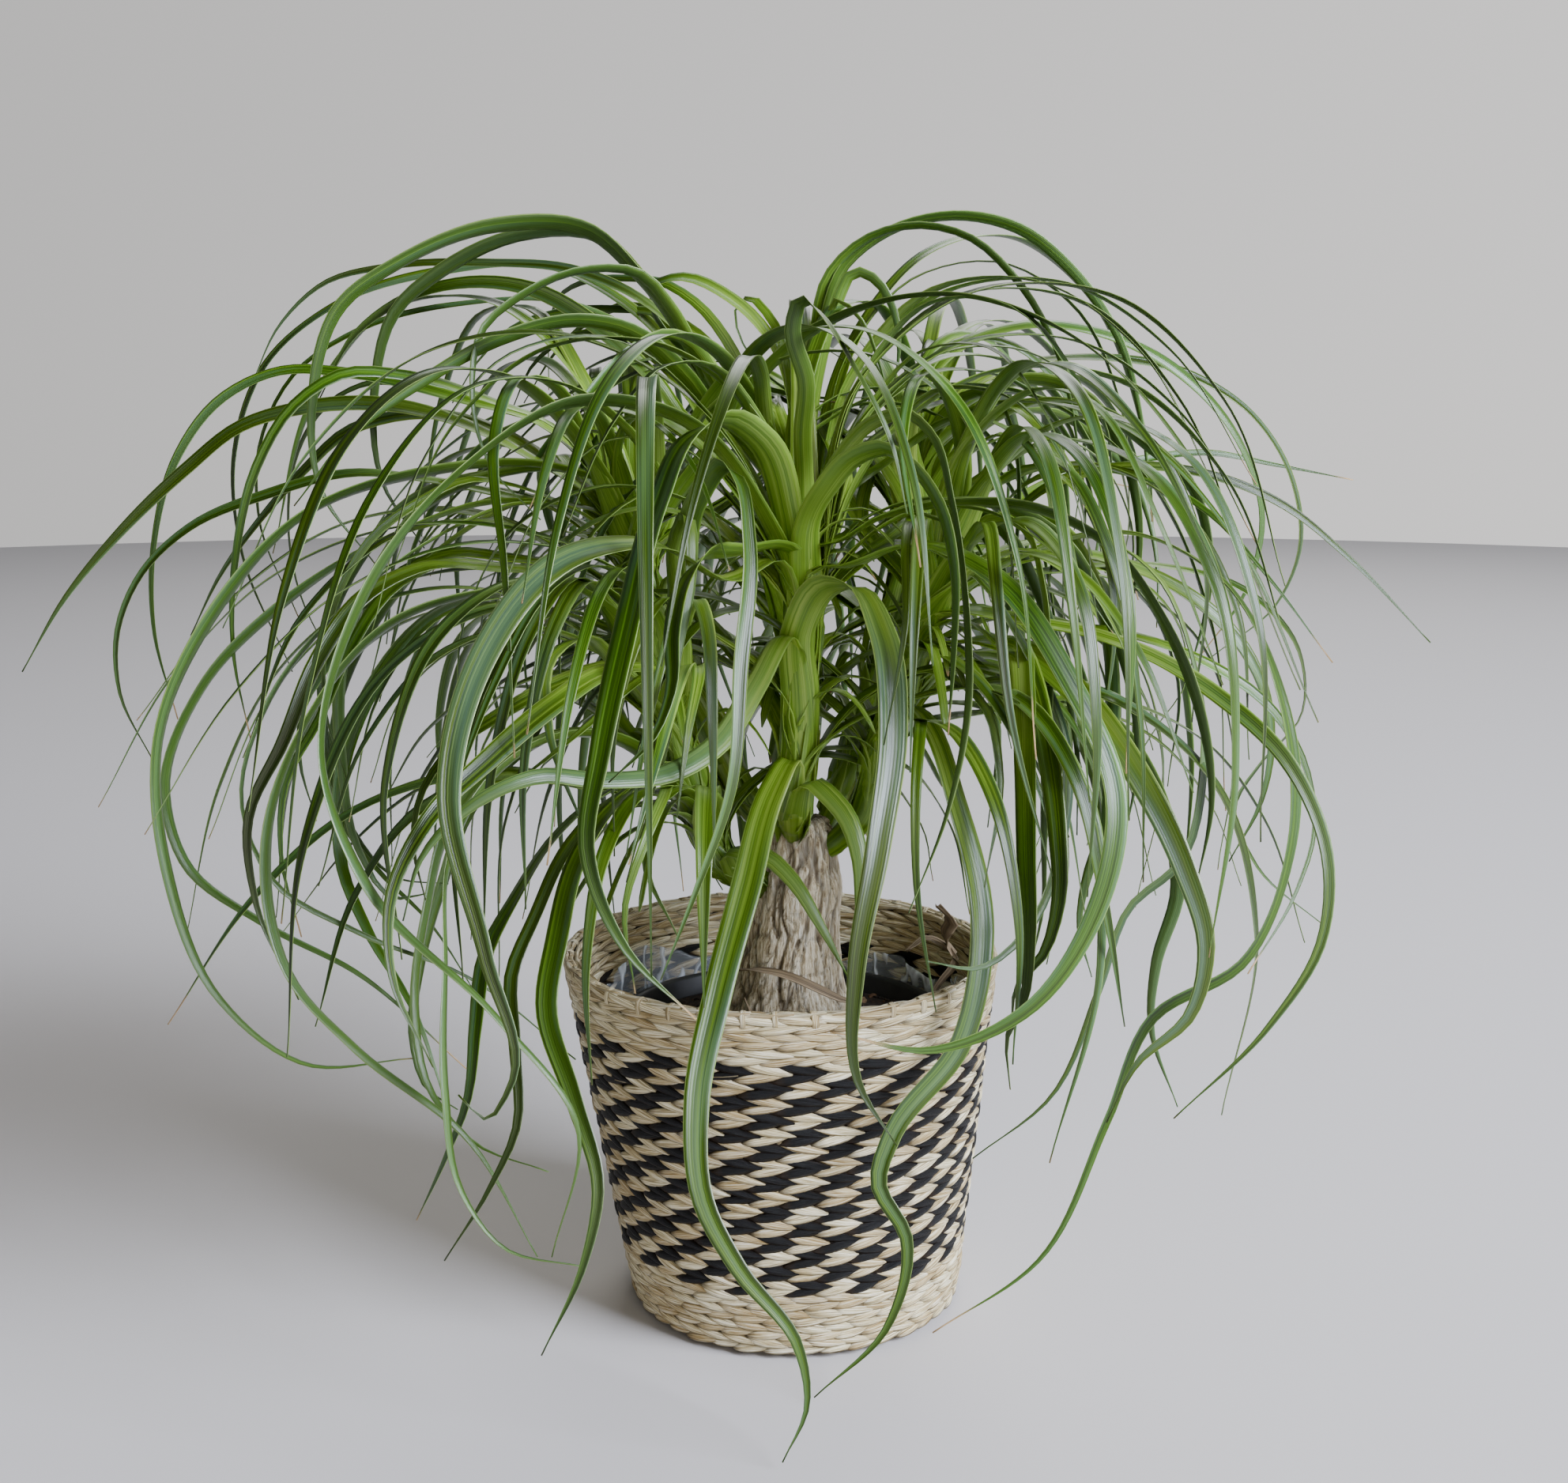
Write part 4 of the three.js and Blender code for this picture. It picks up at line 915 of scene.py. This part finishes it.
# the underside: rounds of strands, pressed flat by the basket's own weight
def footStitches(chance):
    stitches = []
    for ring in range(1, footWeave["rounds"] + 1):
        radius = ring * footWeave["pitch"]
        count = max(footWeave["fewest"], int(fullTurn * radius / footWeave["strand"]))
        size = (min(1.0, footWeave["shortest"] + radius / footWeave["fullFrom"]), *footWeave["flat"])
        for k in range(count):
            angle = fullTurn * (k + 0.5 * (ring % 2)) / count
            matrix = Matrix.Rotation(angle + math.pi / 2, 3, "Z") @ Matrix.Rotation(math.pi, 3, "X")
            place = polar(angle, radius, footWeave["height"])
            stitches.append({"place": place, "turn": tuple(matrix.to_euler()), "size": size,
                             "shade": chance.random(), "dyed": 0.0})
    return stitches


# closed thin wall behind the stitches
def backingShell():
    look, top, steps = backingLook, basket["height"], backingLook["steps"]
    heights = [look["foot"]] + [top * k / steps for k in range(1, steps)] + [top - look["belowRim"]]
    rings = [(basketRadius(z) - look["outside"], z) for z in heights]
    rings += [(basketRadius(z) - basket["wall"] + look["inside"], z) for z in heights[:0:-1]]
    rings.append((basketRadius(basket["bevel"]) - basket["wall"], look["floor"]))
    rings = [roundRing(look["around"], radius, z) for radius, z in rings]
    return closedRings((0, 0, look["middle"]), rings, (0, 0, look["floor"]))


# a flat strand swept along points, with the strands' own attributes
def strandAlong(line, width, thickness, chance, outward=None):
    line, around = np.array(line), rimLook["strandSides"]
    along = unit(np.gradient(line, axis=0))
    if outward is None:
        outward = np.cross(along, unit(np.cross(along, [0.3, 0.2, 1.0])))
    across = unit(np.cross(along, outward))
    outward = np.cross(across, along)
    angles = np.array(turns(around))[:, None]
    flat, thick = 0.5 * width * np.cos(angles), 0.5 * thickness * np.sin(angles)
    points = (line[:, None] + across[:, None] * flat + outward[:, None] * thick).reshape(-1, 3)
    runs = np.repeat(np.linspace(*rimLook["runs"], len(line)), around)
    attributes = {"strandRun": runs, "strandSide": np.tile(np.cos(angles[:, 0]), len(line)),
                  "shade": [chance.random()] * len(points), "dyed": [0.0] * len(points)}
    return points, tubeFaces(len(line), around), attributes


# the stakes' ends folded over the rim, the strand they hold down, and a few that came loose
def rimStrands(chance):
    parts = []
    top, middle = basket["height"], basket["lean"]
    outer = basketRadius(top)
    fold, held = rimLook["fold"], rimLook["heldPoints"] - 1
    turnBy, leanBy = rimLook["foldTurn"], rimLook["foldLean"]
    (before, after), (swing, climb) = rimLook["heldOverlap"], rimLook["heldWave"]
    for k in range(basket["stakes"]):
        angle = fullTurn * (k + 0.5 + chance.uniform(-turnBy, turnBy)) / basket["stakes"]
        lean = chance.uniform(-leanBy, leanBy) / (len(fold) - 1)
        line = [polar(angle + lean * i, outer + out * mm, top + up * mm, middle)
                for i, (out, up) in enumerate(fold)]
        sideways = polar(angle + math.pi / 2, 1, 0)
        outward = np.cross([sideways], unit(np.gradient(np.array(line), axis=0)))
        width = rimLook["foldWidth"] * chance.uniform(*rimLook["foldSizes"])
        parts.append(strandAlong(line, width, rimLook["foldThickness"], chance, outward))
        reach = np.linspace(angle - before, angle + fullTurn / basket["stakes"] + after, held + 1)
        for inwards, rise in rimLook["held"]:
            wave = []
            for i, a in enumerate(reach):
                turn = math.pi * i / held
                radius = outer + (swing * math.sin(turn) - inwards) * mm
                wave.append(polar(a, radius, top + (rise - climb * math.cos(turn)) * mm, middle))
            parts.append(strandAlong(wave, rimLook["heldWidth"], rimLook["heldThickness"], chance))
    for _ in range(rimLook["looseEnds"]):
        angle = chance.uniform(0, fullTurn)
        z = top - chance.uniform(0, 1) ** 2 * rimLook["looseReach"] - rimLook["looseBelow"]
        turn = chance.choice((-1, 1)) * chance.uniform(*rimLook["looseLength"]) * mm / outer
        lift, droop = (chance.uniform(*rimLook[key]) * mm for key in ("looseLift", "looseDroop"))
        line = []
        for t in np.linspace(0, 1, rimLook["loosePoints"]):
            radius = basketRadius(z) + rimLook["looseOff"] + lift * t
            line.append(polar(angle + turn * t, radius, z + droop * t * t, basketMiddle(z)))
        width = chance.uniform(*rimLook["looseWidth"]) * mm
        parts.append(strandAlong(line, width, rimLook["looseThickness"], chance))
    return parts


def makeBasket():
    chance = random.Random(7)
    seagrass = makeSeagrassMaterial()
    bend = 1 / (2 * stitch["radius"])
    outward, inward = makeStitch("outerStitch", bend), makeStitch("innerStitch", -bend)
    outer = wallStitches(int(basket["height"] / basket["row"]), True, chance) + footStitches(chance)
    inner = wallStitches(basket["liningRows"], False, chance)
    weave = growCopies("basketWeave", outer, outward, seagrass)
    lining = growCopies("basketLining", inner, inward, seagrass)
    backing = meshObject("basketBacking", *backingShell(), makeBackingMaterial())
    for piece in (weave, lining, backing, gatherParts("basketRim", rimStrands(chance), seagrass)):
        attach(piece, "root")
        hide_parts("woven_basket")
        print(piece.name, sum(len(p.vertices) - 2 for p in piece.data.polygons), "triangles")


makeBasket()
print("basket done")


pot = {
    "bottom": 5.6 * mm,
    "top": 148 * mm,
    "footRadius": 62 * mm,
    "rimRadius": 84 * mm,
    "wall": 1.8 * mm,
    "lift": 0.4 * mm,
    "footEdge": 0.8 * mm,
    "floorInset": 3 * mm,
    "lipHeight": 9 * mm,
    "wallSteps": 9,
    "around": 96,
}
# the rolled lip, in millimetres: height against the pot's top and reach against its wall
potLip = [(-9.6, 0), (-9, 2.1), (-8, 3), (-2, 3), (-0.7, 2.7), (-0.1, 1.8), (0, 0.4), (-0.4, -1.5),
          (-1.5, -1.8)]


def potRadius(z):
    share = (z - pot["bottom"]) / (pot["top"] - pot["bottom"])
    return pot["footRadius"] + (pot["rimRadius"] - pot["footRadius"]) * share


# moulded black plastic, finely grained and slightly dusty
def makePotMaterial():
    material, tree, shader = newMaterial("mouldedBlackPlastic", Roughness=0.5)
    place = objectPlace(tree)
    dust, grain = addNoise(place, 45.0, 4.0), addNoise(place, 1400.0, 2.0)
    black = addRamp(dust, [(0.35, "#141516"), (0.65, "#232425"), (0.85, "#3b3835")])
    finishShader(shader, black, grain, 0.0002, 0.5)
    return material


# thin nursery pot, as rings from under its floor over the lip to the inside
def makePot():
    wall, top, low, foot = pot["wall"], pot["top"], pot["bottom"] + pot["lift"], pot["footRadius"]
    edge, steps = pot["footEdge"], pot["wallSteps"]
    rise = (top - pot["lipHeight"] - low) / steps
    profile = [(0.55 * foot - edge, low), (foot - edge, low), (foot, low + edge)]
    profile += [(potRadius(low + rise * k), low + rise * k) for k in range(1, steps)]
    profile += [(potRadius(top + up * mm) + out * mm, top + up * mm) for up, out in potLip]
    inner = [low + 2 * wall + rise * k for k in range(steps)]
    profile += [(potRadius(z) - wall, z) for z in inner[::-1]]
    profile.append((foot - pot["floorInset"], low + wall))
    rings = [roundRing(pot["around"], radius, z) for radius, z in profile]
    points, faces = closedRings((0, 0, low), rings, (0, 0, low + wall))
    piece = meshObject("nurseryPotBody", points, faces, makePotMaterial())
    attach(piece, "root")
    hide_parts("nursery_pot")


makePot()

liner = {
    "film": 0.5 * mm,
    "clearance": 1.5 * mm,
    "crumple": 2.2 * mm,
    "waves": ((7, 1 / (19 * mm), 1), (13, -1 / (11 * mm), 0.7), (23, 0, 0.4)),  # around, upwards, strength
    "fineCrumple": 1.5 * mm,
    "fold": (5.2, 17 * mm),  # size of the noise round the film and up it
    "finer": 2.7,
    "sharpness": (3.2, 3),  # of the folds and of the finer ones
    "least": 0.2 * mm,
    "edgeHeight": 158 * mm,
    "edgeWave": 9 * mm,
    "edgeRagged": 2.2 * mm,
    "floorHeight": 5.0 * mm,
    "floorRadius": 72 * mm,
    "bevel": 7 * mm,
    "flop": 6 * mm,  # how far the free edge falls inwards
    "free": 0.12,  # share of the height that stands free
    "floorCreaseHighlight": 0.2,
    "around": 260,
    "up": 34,
}


# a place on a cylinder, where noise closes on itself
def wrapped(angle, size, height):
    return Vector(polar(angle, size, height))


# distance that creased film stands off the wall, with sharp folds
def filmOff(angle, z):
    waves = sum(strength * math.sin(count * angle + rise * z) for count, rise, strength in liner["waves"])
    broad = liner["crumple"] * (0.5 + waves / 4.2)
    (size, height), (sharp, sharpSmall) = liner["fold"], liner["sharpness"]
    place = wrapped(angle, size, z / height)
    folds = 1 - abs(noise.noise(place)) * sharp
    small = 1 - abs(noise.noise(place * liner["finer"] + Vector((3, 7, 1)))) * sharpSmall
    return max(liner["least"], broad) + liner["fineCrumple"] * (max(0, folds) + 0.5 * max(0, small)), folds


# clear glossy film: almost unseen where flat, with painted whitish highlights along its creases
def makeFilmMaterial():
    material, tree, shader = newMaterial("clearGlossyFilm", Roughness=0.15, IOR=1.5, Specular_IOR_Level=1.0)
    creaseHighlight = addRange(addAttribute(tree, "creaseHighlight"), (0.1, 0.9), (0.45, 1.0))
    links = {"Vector": objectPlace(tree)}
    upright = addNode(tree, "ShaderNodeMapping", {"Scale": (62.0, 62.0, 17.0)}, links).outputs[0]
    away = addMath("ABSOLUTE", minus(addNoise(upright, 1.0, 2.0, 0.4), 0.5))
    line = addRange(away, (0.0, 0.045), (1.0, 0.0))
    # painted highlight: whitish, more opaque lines where the crinkles cross the creases
    feed(shader.inputs["Alpha"], plus(0.13, times(line, creaseHighlight), clamp=True))
    finishShader(shader, linearColour("#e9f2fb"), line, 0.0012, 0.8)
    return material


def makeLiner():
    around, up, film, floorZ = liner["around"], liner["up"], liner["film"], liner["floorHeight"]
    low = floorZ + liner["bevel"]
    outer, creaseHighlights = [], []
    for k in range(up + 1):
        share = k / up
        free = max(0, (share - 1 + liner["free"]) / liner["free"])
        ring, marks = [], []
        for angle in turns(around):
            edge = liner["edgeHeight"] + liner["edgeWave"] * math.sin(3 * angle + 0.6) * math.cos(5 * angle)
            edge += liner["edgeRagged"] * noise.noise(wrapped(angle, 9, 4))
            z = low + (edge - low) * share
            off, fold = filmOff(angle, z)
            fall = liner["flop"] * free * max(0, 0.4 + noise.noise(wrapped(angle, 3, 9)))
            radius = basketRadius(z) - basket["wall"] - liner["clearance"] - off - fall
            ring.append(polar(angle, radius, z, basketMiddle(z)))
            # painted highlight strength: along the folds, and more towards the free top edge
            marks.append(max(0, fold) * 0.8 + free * 0.35)
        outer.append(ring)
        creaseHighlights.append(marks)
    inner = [[(x - film * math.cos(angle), y - film * math.sin(angle), z)
              for angle, (x, y, z) in zip(turns(around), ring)] for ring in outer[::-1]]
    base = roundRing(around, liner["floorRadius"], floorZ)
    under = roundRing(around, liner["floorRadius"] - film, floorZ + film)
    points, faces = closedRings((0, 0, floorZ), [base] + outer + inner + [under], (0, 0, floorZ + film))
    flat = [liner["floorCreaseHighlight"]] * (around + 1)
    marks = flat + [mark for row in creaseHighlights + creaseHighlights[::-1] for mark in row] + flat
    piece = meshObject("linerFilm", points, faces, makeFilmMaterial(), {"creaseHighlight": marks})
    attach(piece, "root")
    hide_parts("plastic_liner")


makeLiner()
print("pot and liner done")

soil = {
    "surface": 138 * mm,
    "mound": 3 * mm,
    "bottom": 8 * mm,
    "gap": 0.4 * mm,
    "around": 150,
    "rings": 40,
    "bumps": ((0, 9 * mm, 1.4 * mm), (3, 3.2 * mm, 0.8 * mm)),  # where in the noise, width, height
    "chips": 420,
    "chipSpread": (0.14, 0.94),
    "chipTilt": 0.5,
    "chipTurn": 6.28,
    "chipLift": 0.3 * mm,
    "chipSize": (0.9, 1),  # of the smallest, in millimetres
    "chipGrowth": 3.4,
    "chipShape": ((1, 1.9), (0.6, 1), (0.3, 0.7)),
}


# loose damp potting soil
def makeSoilMaterial():
    material, tree, shader = newMaterial("dampPottingSoil", Roughness=0.92)
    grit = addNoise(objectPlace(tree), 420.0, 5.0, 0.7)
    colours = [(0.34, "#120c08"), (0.52, "#2a1d14"), (0.68, "#4a3524"), (0.8, "#6f5438")]
    finishShader(shader, addRamp(grit, colours), grit, 0.0016)
    return material


# chips of composted bark and wood
def makeChipMaterial():
    material, tree, shader = newMaterial("compostedBarkChips", Roughness=0.85)
    grain = addNoise(objectPlace(tree), 700.0, 3.0)
    colours = [(0.1, "#1c120b"), (0.55, "#3b281a"), (0.85, "#6b4c30"), (1.0, "#a68a63")]
    base = addRamp(addAttribute(tree, "shade"), colours)
    darker = mixColours(times(grain, 0.8), base, linearColour("#140d08"))
    finishShader(shader, darker, grain, 0.0008, 0.8)
    return material


def soilHeight(share, x, y):
    bumps = sum(noise.noise(Vector((x, y, start)) / width) * height for start, width, height in soil["bumps"])
    return soil["surface"] + soil["mound"] * (1 - share * share) + bumps * min(1, 6 * (1 - share))


# one chip, a small lump with flat sides
def makeChip():
    work = bmesh.new()
    bmesh.ops.create_icosphere(work, subdivisions=1, radius=1.0)
    for v in work.verts:
        v.co *= 1 + 0.35 * noise.noise(v.co * 2.3)
    for f in work.faces:
        f.smooth = False
    mesh = bpy.data.meshes.new("chip")
    work.to_mesh(mesh)
    work.free()
    return linked("chip", mesh)


def makeSoil():
    chance = random.Random(31)
    radius = potRadius(soil["surface"]) - pot["wall"] - soil["gap"]
    middle, low = basketMiddle(soil["surface"]), soil["bottom"]
    rings = [roundRing(soil["around"], potRadius(low) - pot["wall"] - soil["gap"], low)]
    for k in range(soil["rings"]):
        share = 1 - k / soil["rings"]
        flat = [polar(angle, radius * share, 0) for angle in turns(soil["around"])]
        rings.append([(middle + x, y, soilHeight(share, x, y)) for x, y, _ in flat])
    points, faces = closedRings((0, 0, low), rings, (middle, 0, soilHeight(0, 0, 0)))
    ground = meshObject("pottingSoilBed", points, faces, makeSoilMaterial())

    chips, tilt = [], soil["chipTilt"]
    for _ in range(soil["chips"]):
        share = math.sqrt(chance.uniform(*soil["chipSpread"]))
        angle = chance.uniform(0, fullTurn)
        x, y, _ = polar(angle, radius * share, 0)
        place = (middle + x, y, soilHeight(share, x, y) + soil["chipLift"])
        turn = [chance.uniform(-tilt, tilt), chance.uniform(-tilt, tilt), chance.uniform(0, soil["chipTurn"])]
        size = chance.uniform(*soil["chipSize"]) * mm * (1 + soil["chipGrowth"] * chance.random() ** 3)
        sizes = [size * chance.uniform(*span) for span in soil["chipShape"]]
        chips.append({"place": place, "turn": turn, "size": sizes, "shade": chance.random()})
    for piece in (ground, growCopies("barkChips", chips, makeChip(), makeChipMaterial())):
        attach(piece, "root")
        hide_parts("potting_soil")


makeSoil()
print("soil done")

# height, middle along X and radius, in millimetres, as the solid has them
trunkStations = [(96, -5, 20), (108, -5, 29), (122, -5, 34), (137, -5, 34.5), (150, -4.6, 31.5),
                 (166, -3.6, 27.5), (184, -2, 24.3), (202, 0, 22), (219, 2, 20.5), (234, 2.4, 18),
                 (246, 2.6, 15.8), (251, 2.6, 13.2)]
trunkLook = {
    "around": 210,
    "rings": 170,
    "grow": 0.7 * mm,
    "wander": (0.35, 2, 26 * mm),  # how far grooves stray, and that noise's size round the trunk and up it
    "plate": (6.2 * mm, 34 * mm),
    "fine": (2.6 * mm, 13 * mm),
    "lump": (2.2, 15 * mm),
    "groove": 1.9 * mm,
    "grooveWidth": 0.13,
    "crack": 0.8 * mm,
    "crackWidth": 0.11,
    "lumps": 1.1 * mm,
    "buttresses": 9,
    "buttress": 1.1 * mm,
    "buttressTop": 200 * mm,
    "buttressFade": 60 * mm,
    "cut": ((0.86, 1.6), (0.66, 2.0), (0.48, 0.9), (0.28, -0.4), (0.12, 0.6)),  # radius share, height
}


# dry corky bark: grey-tan plates between dark upright fissures, their darkness partly the bark's own colour
# and partly painted shade
def makeBarkMaterial():
    material, tree, shader = newMaterial("fissuredCorkyBark", Roughness=0.88)
    place = objectPlace(tree)
    tall = addNode(tree, "ShaderNodeMapping", {"Scale": (640.0, 640.0, 75.0)}, {"Vector": place}).outputs[0]
    fibres = addNoise(tall, 1.0, 5.0, 0.7)
    broad = addNoise(place, 38.0, 2.0)
    colours = [(0.32, "#6b553a"), (0.43, "#b8a582"), (0.53, "#e4d8ba"), (0.66, "#fffae8")]
    plates = addRamp(fibres, colours)
    patched = mixColours(times(broad, 0.3), plates, linearColour("#cbbc9b"))
    # darker in fissures and cracks: partly the bark's own colour there, partly painted shade
    depth = times(addAttribute(tree, "fissure"), 0.78)
    finishShader(shader, mixColours(depth, patched, linearColour("#3d3022")), fibres, 0.0022)
    return material


def makeTrunk():
    look = trunkLook
    stations = np.array(trunkStations, dtype=float) * mm
    heights = np.linspace(stations[0, 0], stations[-1, 0], look["rings"])
    rows = splineThrough(stations[:, 1:], stations[:, 0], heights)
    (stray, strayWidth, strayHeight), (lumpWidth, lumpHeight) = look["wander"], look["lump"]
    (plateWidth, plateHeight), (fineWidth, fineHeight) = look["plate"], look["fine"]
    rings, marks = [], []
    for z, (middle, radius) in zip(heights, rows):
        ring = []
        fade = min(1, max(0.2, (look["buttressTop"] - z) / look["buttressFade"]))
        for angle in turns(look["around"]):
            turned = angle + stray * noise.noise(wrapped(angle, strayWidth, z / strayHeight))
            plate = noise.noise(wrapped(turned, radius / plateWidth, z / plateHeight))
            fine = noise.noise(wrapped(turned, radius / fineWidth, z / fineHeight + 5))
            groove = math.exp(-(plate / look["grooveWidth"]) ** 2)
            crack = math.exp(-(fine / look["crackWidth"]) ** 2)
            r = radius + look["grow"] + fade * look["buttress"] * math.cos(look["buttresses"] * angle + 0.4)
            r -= look["groove"] * groove + look["crack"] * crack
            r += look["lumps"] * noise.noise(wrapped(turned, lumpWidth, z / lumpHeight + 9))
            ring.append(polar(angle, r, z, middle))
            # how dark each groove and crack is coloured: partly the bark's own colour, partly painted shade
            marks.append(min(1, 0.85 * groove + 0.55 * crack))
        rings.append(ring)
    top, middle, edge = heights[-1], rows[-1][0], rings[-1]
    for share, rise in look["cut"]:
        ring = []
        for x, y, _ in edge:
            x, y = middle + (x - middle) * share, y * share
            lump = noise.noise(Vector((x, y, 0)) / (4 * mm))
            ring.append((x, y, top + (rise + 1.1 * lump) * mm))
            marks.append(min(1, max(0, 0.45 + lump * 1.2)))
        rings.append(ring)
    points, faces = closedRings((rows[0][0], 0, heights[0]), rings, (middle, 0, top + 0.8 * mm))
    piece = meshObject("trunkBark", points, faces, makeBarkMaterial(), {"fissure": [0.0] + marks + [0.6]})
    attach(piece, "root")
    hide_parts("trunk")


makeTrunk()
print("trunk done")

# fallen dry leaves: points along each, in millimetres, and its width
dryLeafRuns = {
    "acrossTrunk": ([(-32, -22, 178), (-20, -36, 183), (-4, -40, 181), (12, -40, 174), (24, -38, 168),
                     (31, -33, 166)], 7),
    "rightWall": ([(72, 2, 205), (80, 6, 196), (77, 10, 186), (83, 8, 174), (74, 4, 163), (66, -2, 152)], 8),
    "rightTwist": ([(58, 12, 178), (68, 16, 184), (78, 12, 181), (84, 4, 176)], 6),
    "rightFloor": ([(38, -30, 144), (50, -22, 147), (60, -8, 146), (62, 8, 149)], 6),
    "leftFloor": ([(-62, -26, 146), (-52, -34, 148), (-38, -40, 145), (-30, -46, 146)], 5),
    "backFloor": ([(-40, 48, 146), (-20, 56, 149), (4, 58, 146), (18, 52, 145)], 6),
    "thinRoot": ([(-26, -34, 168), (-22, -38, 160), (-23, -42, 150), (-32, -40, 146)], 2),
}
dryLeafLook = {"along": 14, "twist": (1.2, 2.8), "places": (0, 0.2, 0.6, 1), "widths": (0.5, 1, 0.7, 0.15)}


# papery dead leaf, brown and brittle
def makeDryMaterial():
    material, tree, shader = newMaterial("paperyDeadLeaf", Roughness=0.72)
    fields = [addAttribute(tree, key) for key in ("across", "run", "shade")]
    streaks = addStreaks(fields, (4.0, 18.0, 50.0), 4.0)
    brown = addRamp(streaks, [(0.3, "#3b3020"), (0.5, "#75634a"), (0.75, "#ab9a7c")])
    finishShader(shader, brown, streaks, 0.0006, 0.8)
    return material


def makeDryLeaves():
    chance = random.Random(12)
    parts = []
    count = dryLeafLook["along"]
    shares = np.linspace(0, 1, count)
    for points, width in dryLeafRuns.values():
        knots = np.arange(len(points), dtype=float)
        at = np.linspace(0, len(points) - 1, count)
        middles = splineThrough(np.array(points, dtype=float) * mm, knots, at)
        along = unit(np.gradient(middles, axis=0))
        twist = np.linspace(0, chance.uniform(*dryLeafLook["twist"]), count)[:, None]
        side = unit(np.cross(along, [0.2, 0.3, 1.0]))
        laterals = side * np.cos(twist) + np.cross(along, side) * np.sin(twist)
        widths = width * mm * np.interp(shares, dryLeafLook["places"], dryLeafLook["widths"])
        parts.append(bladeMesh(middles, laterals, np.cross(laterals, along), widths, chance))
    piece = gatherParts("dryLeafBits", parts, makeDryMaterial())
    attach(piece, "root")


makeDryLeaves()
print("dry leaves done")
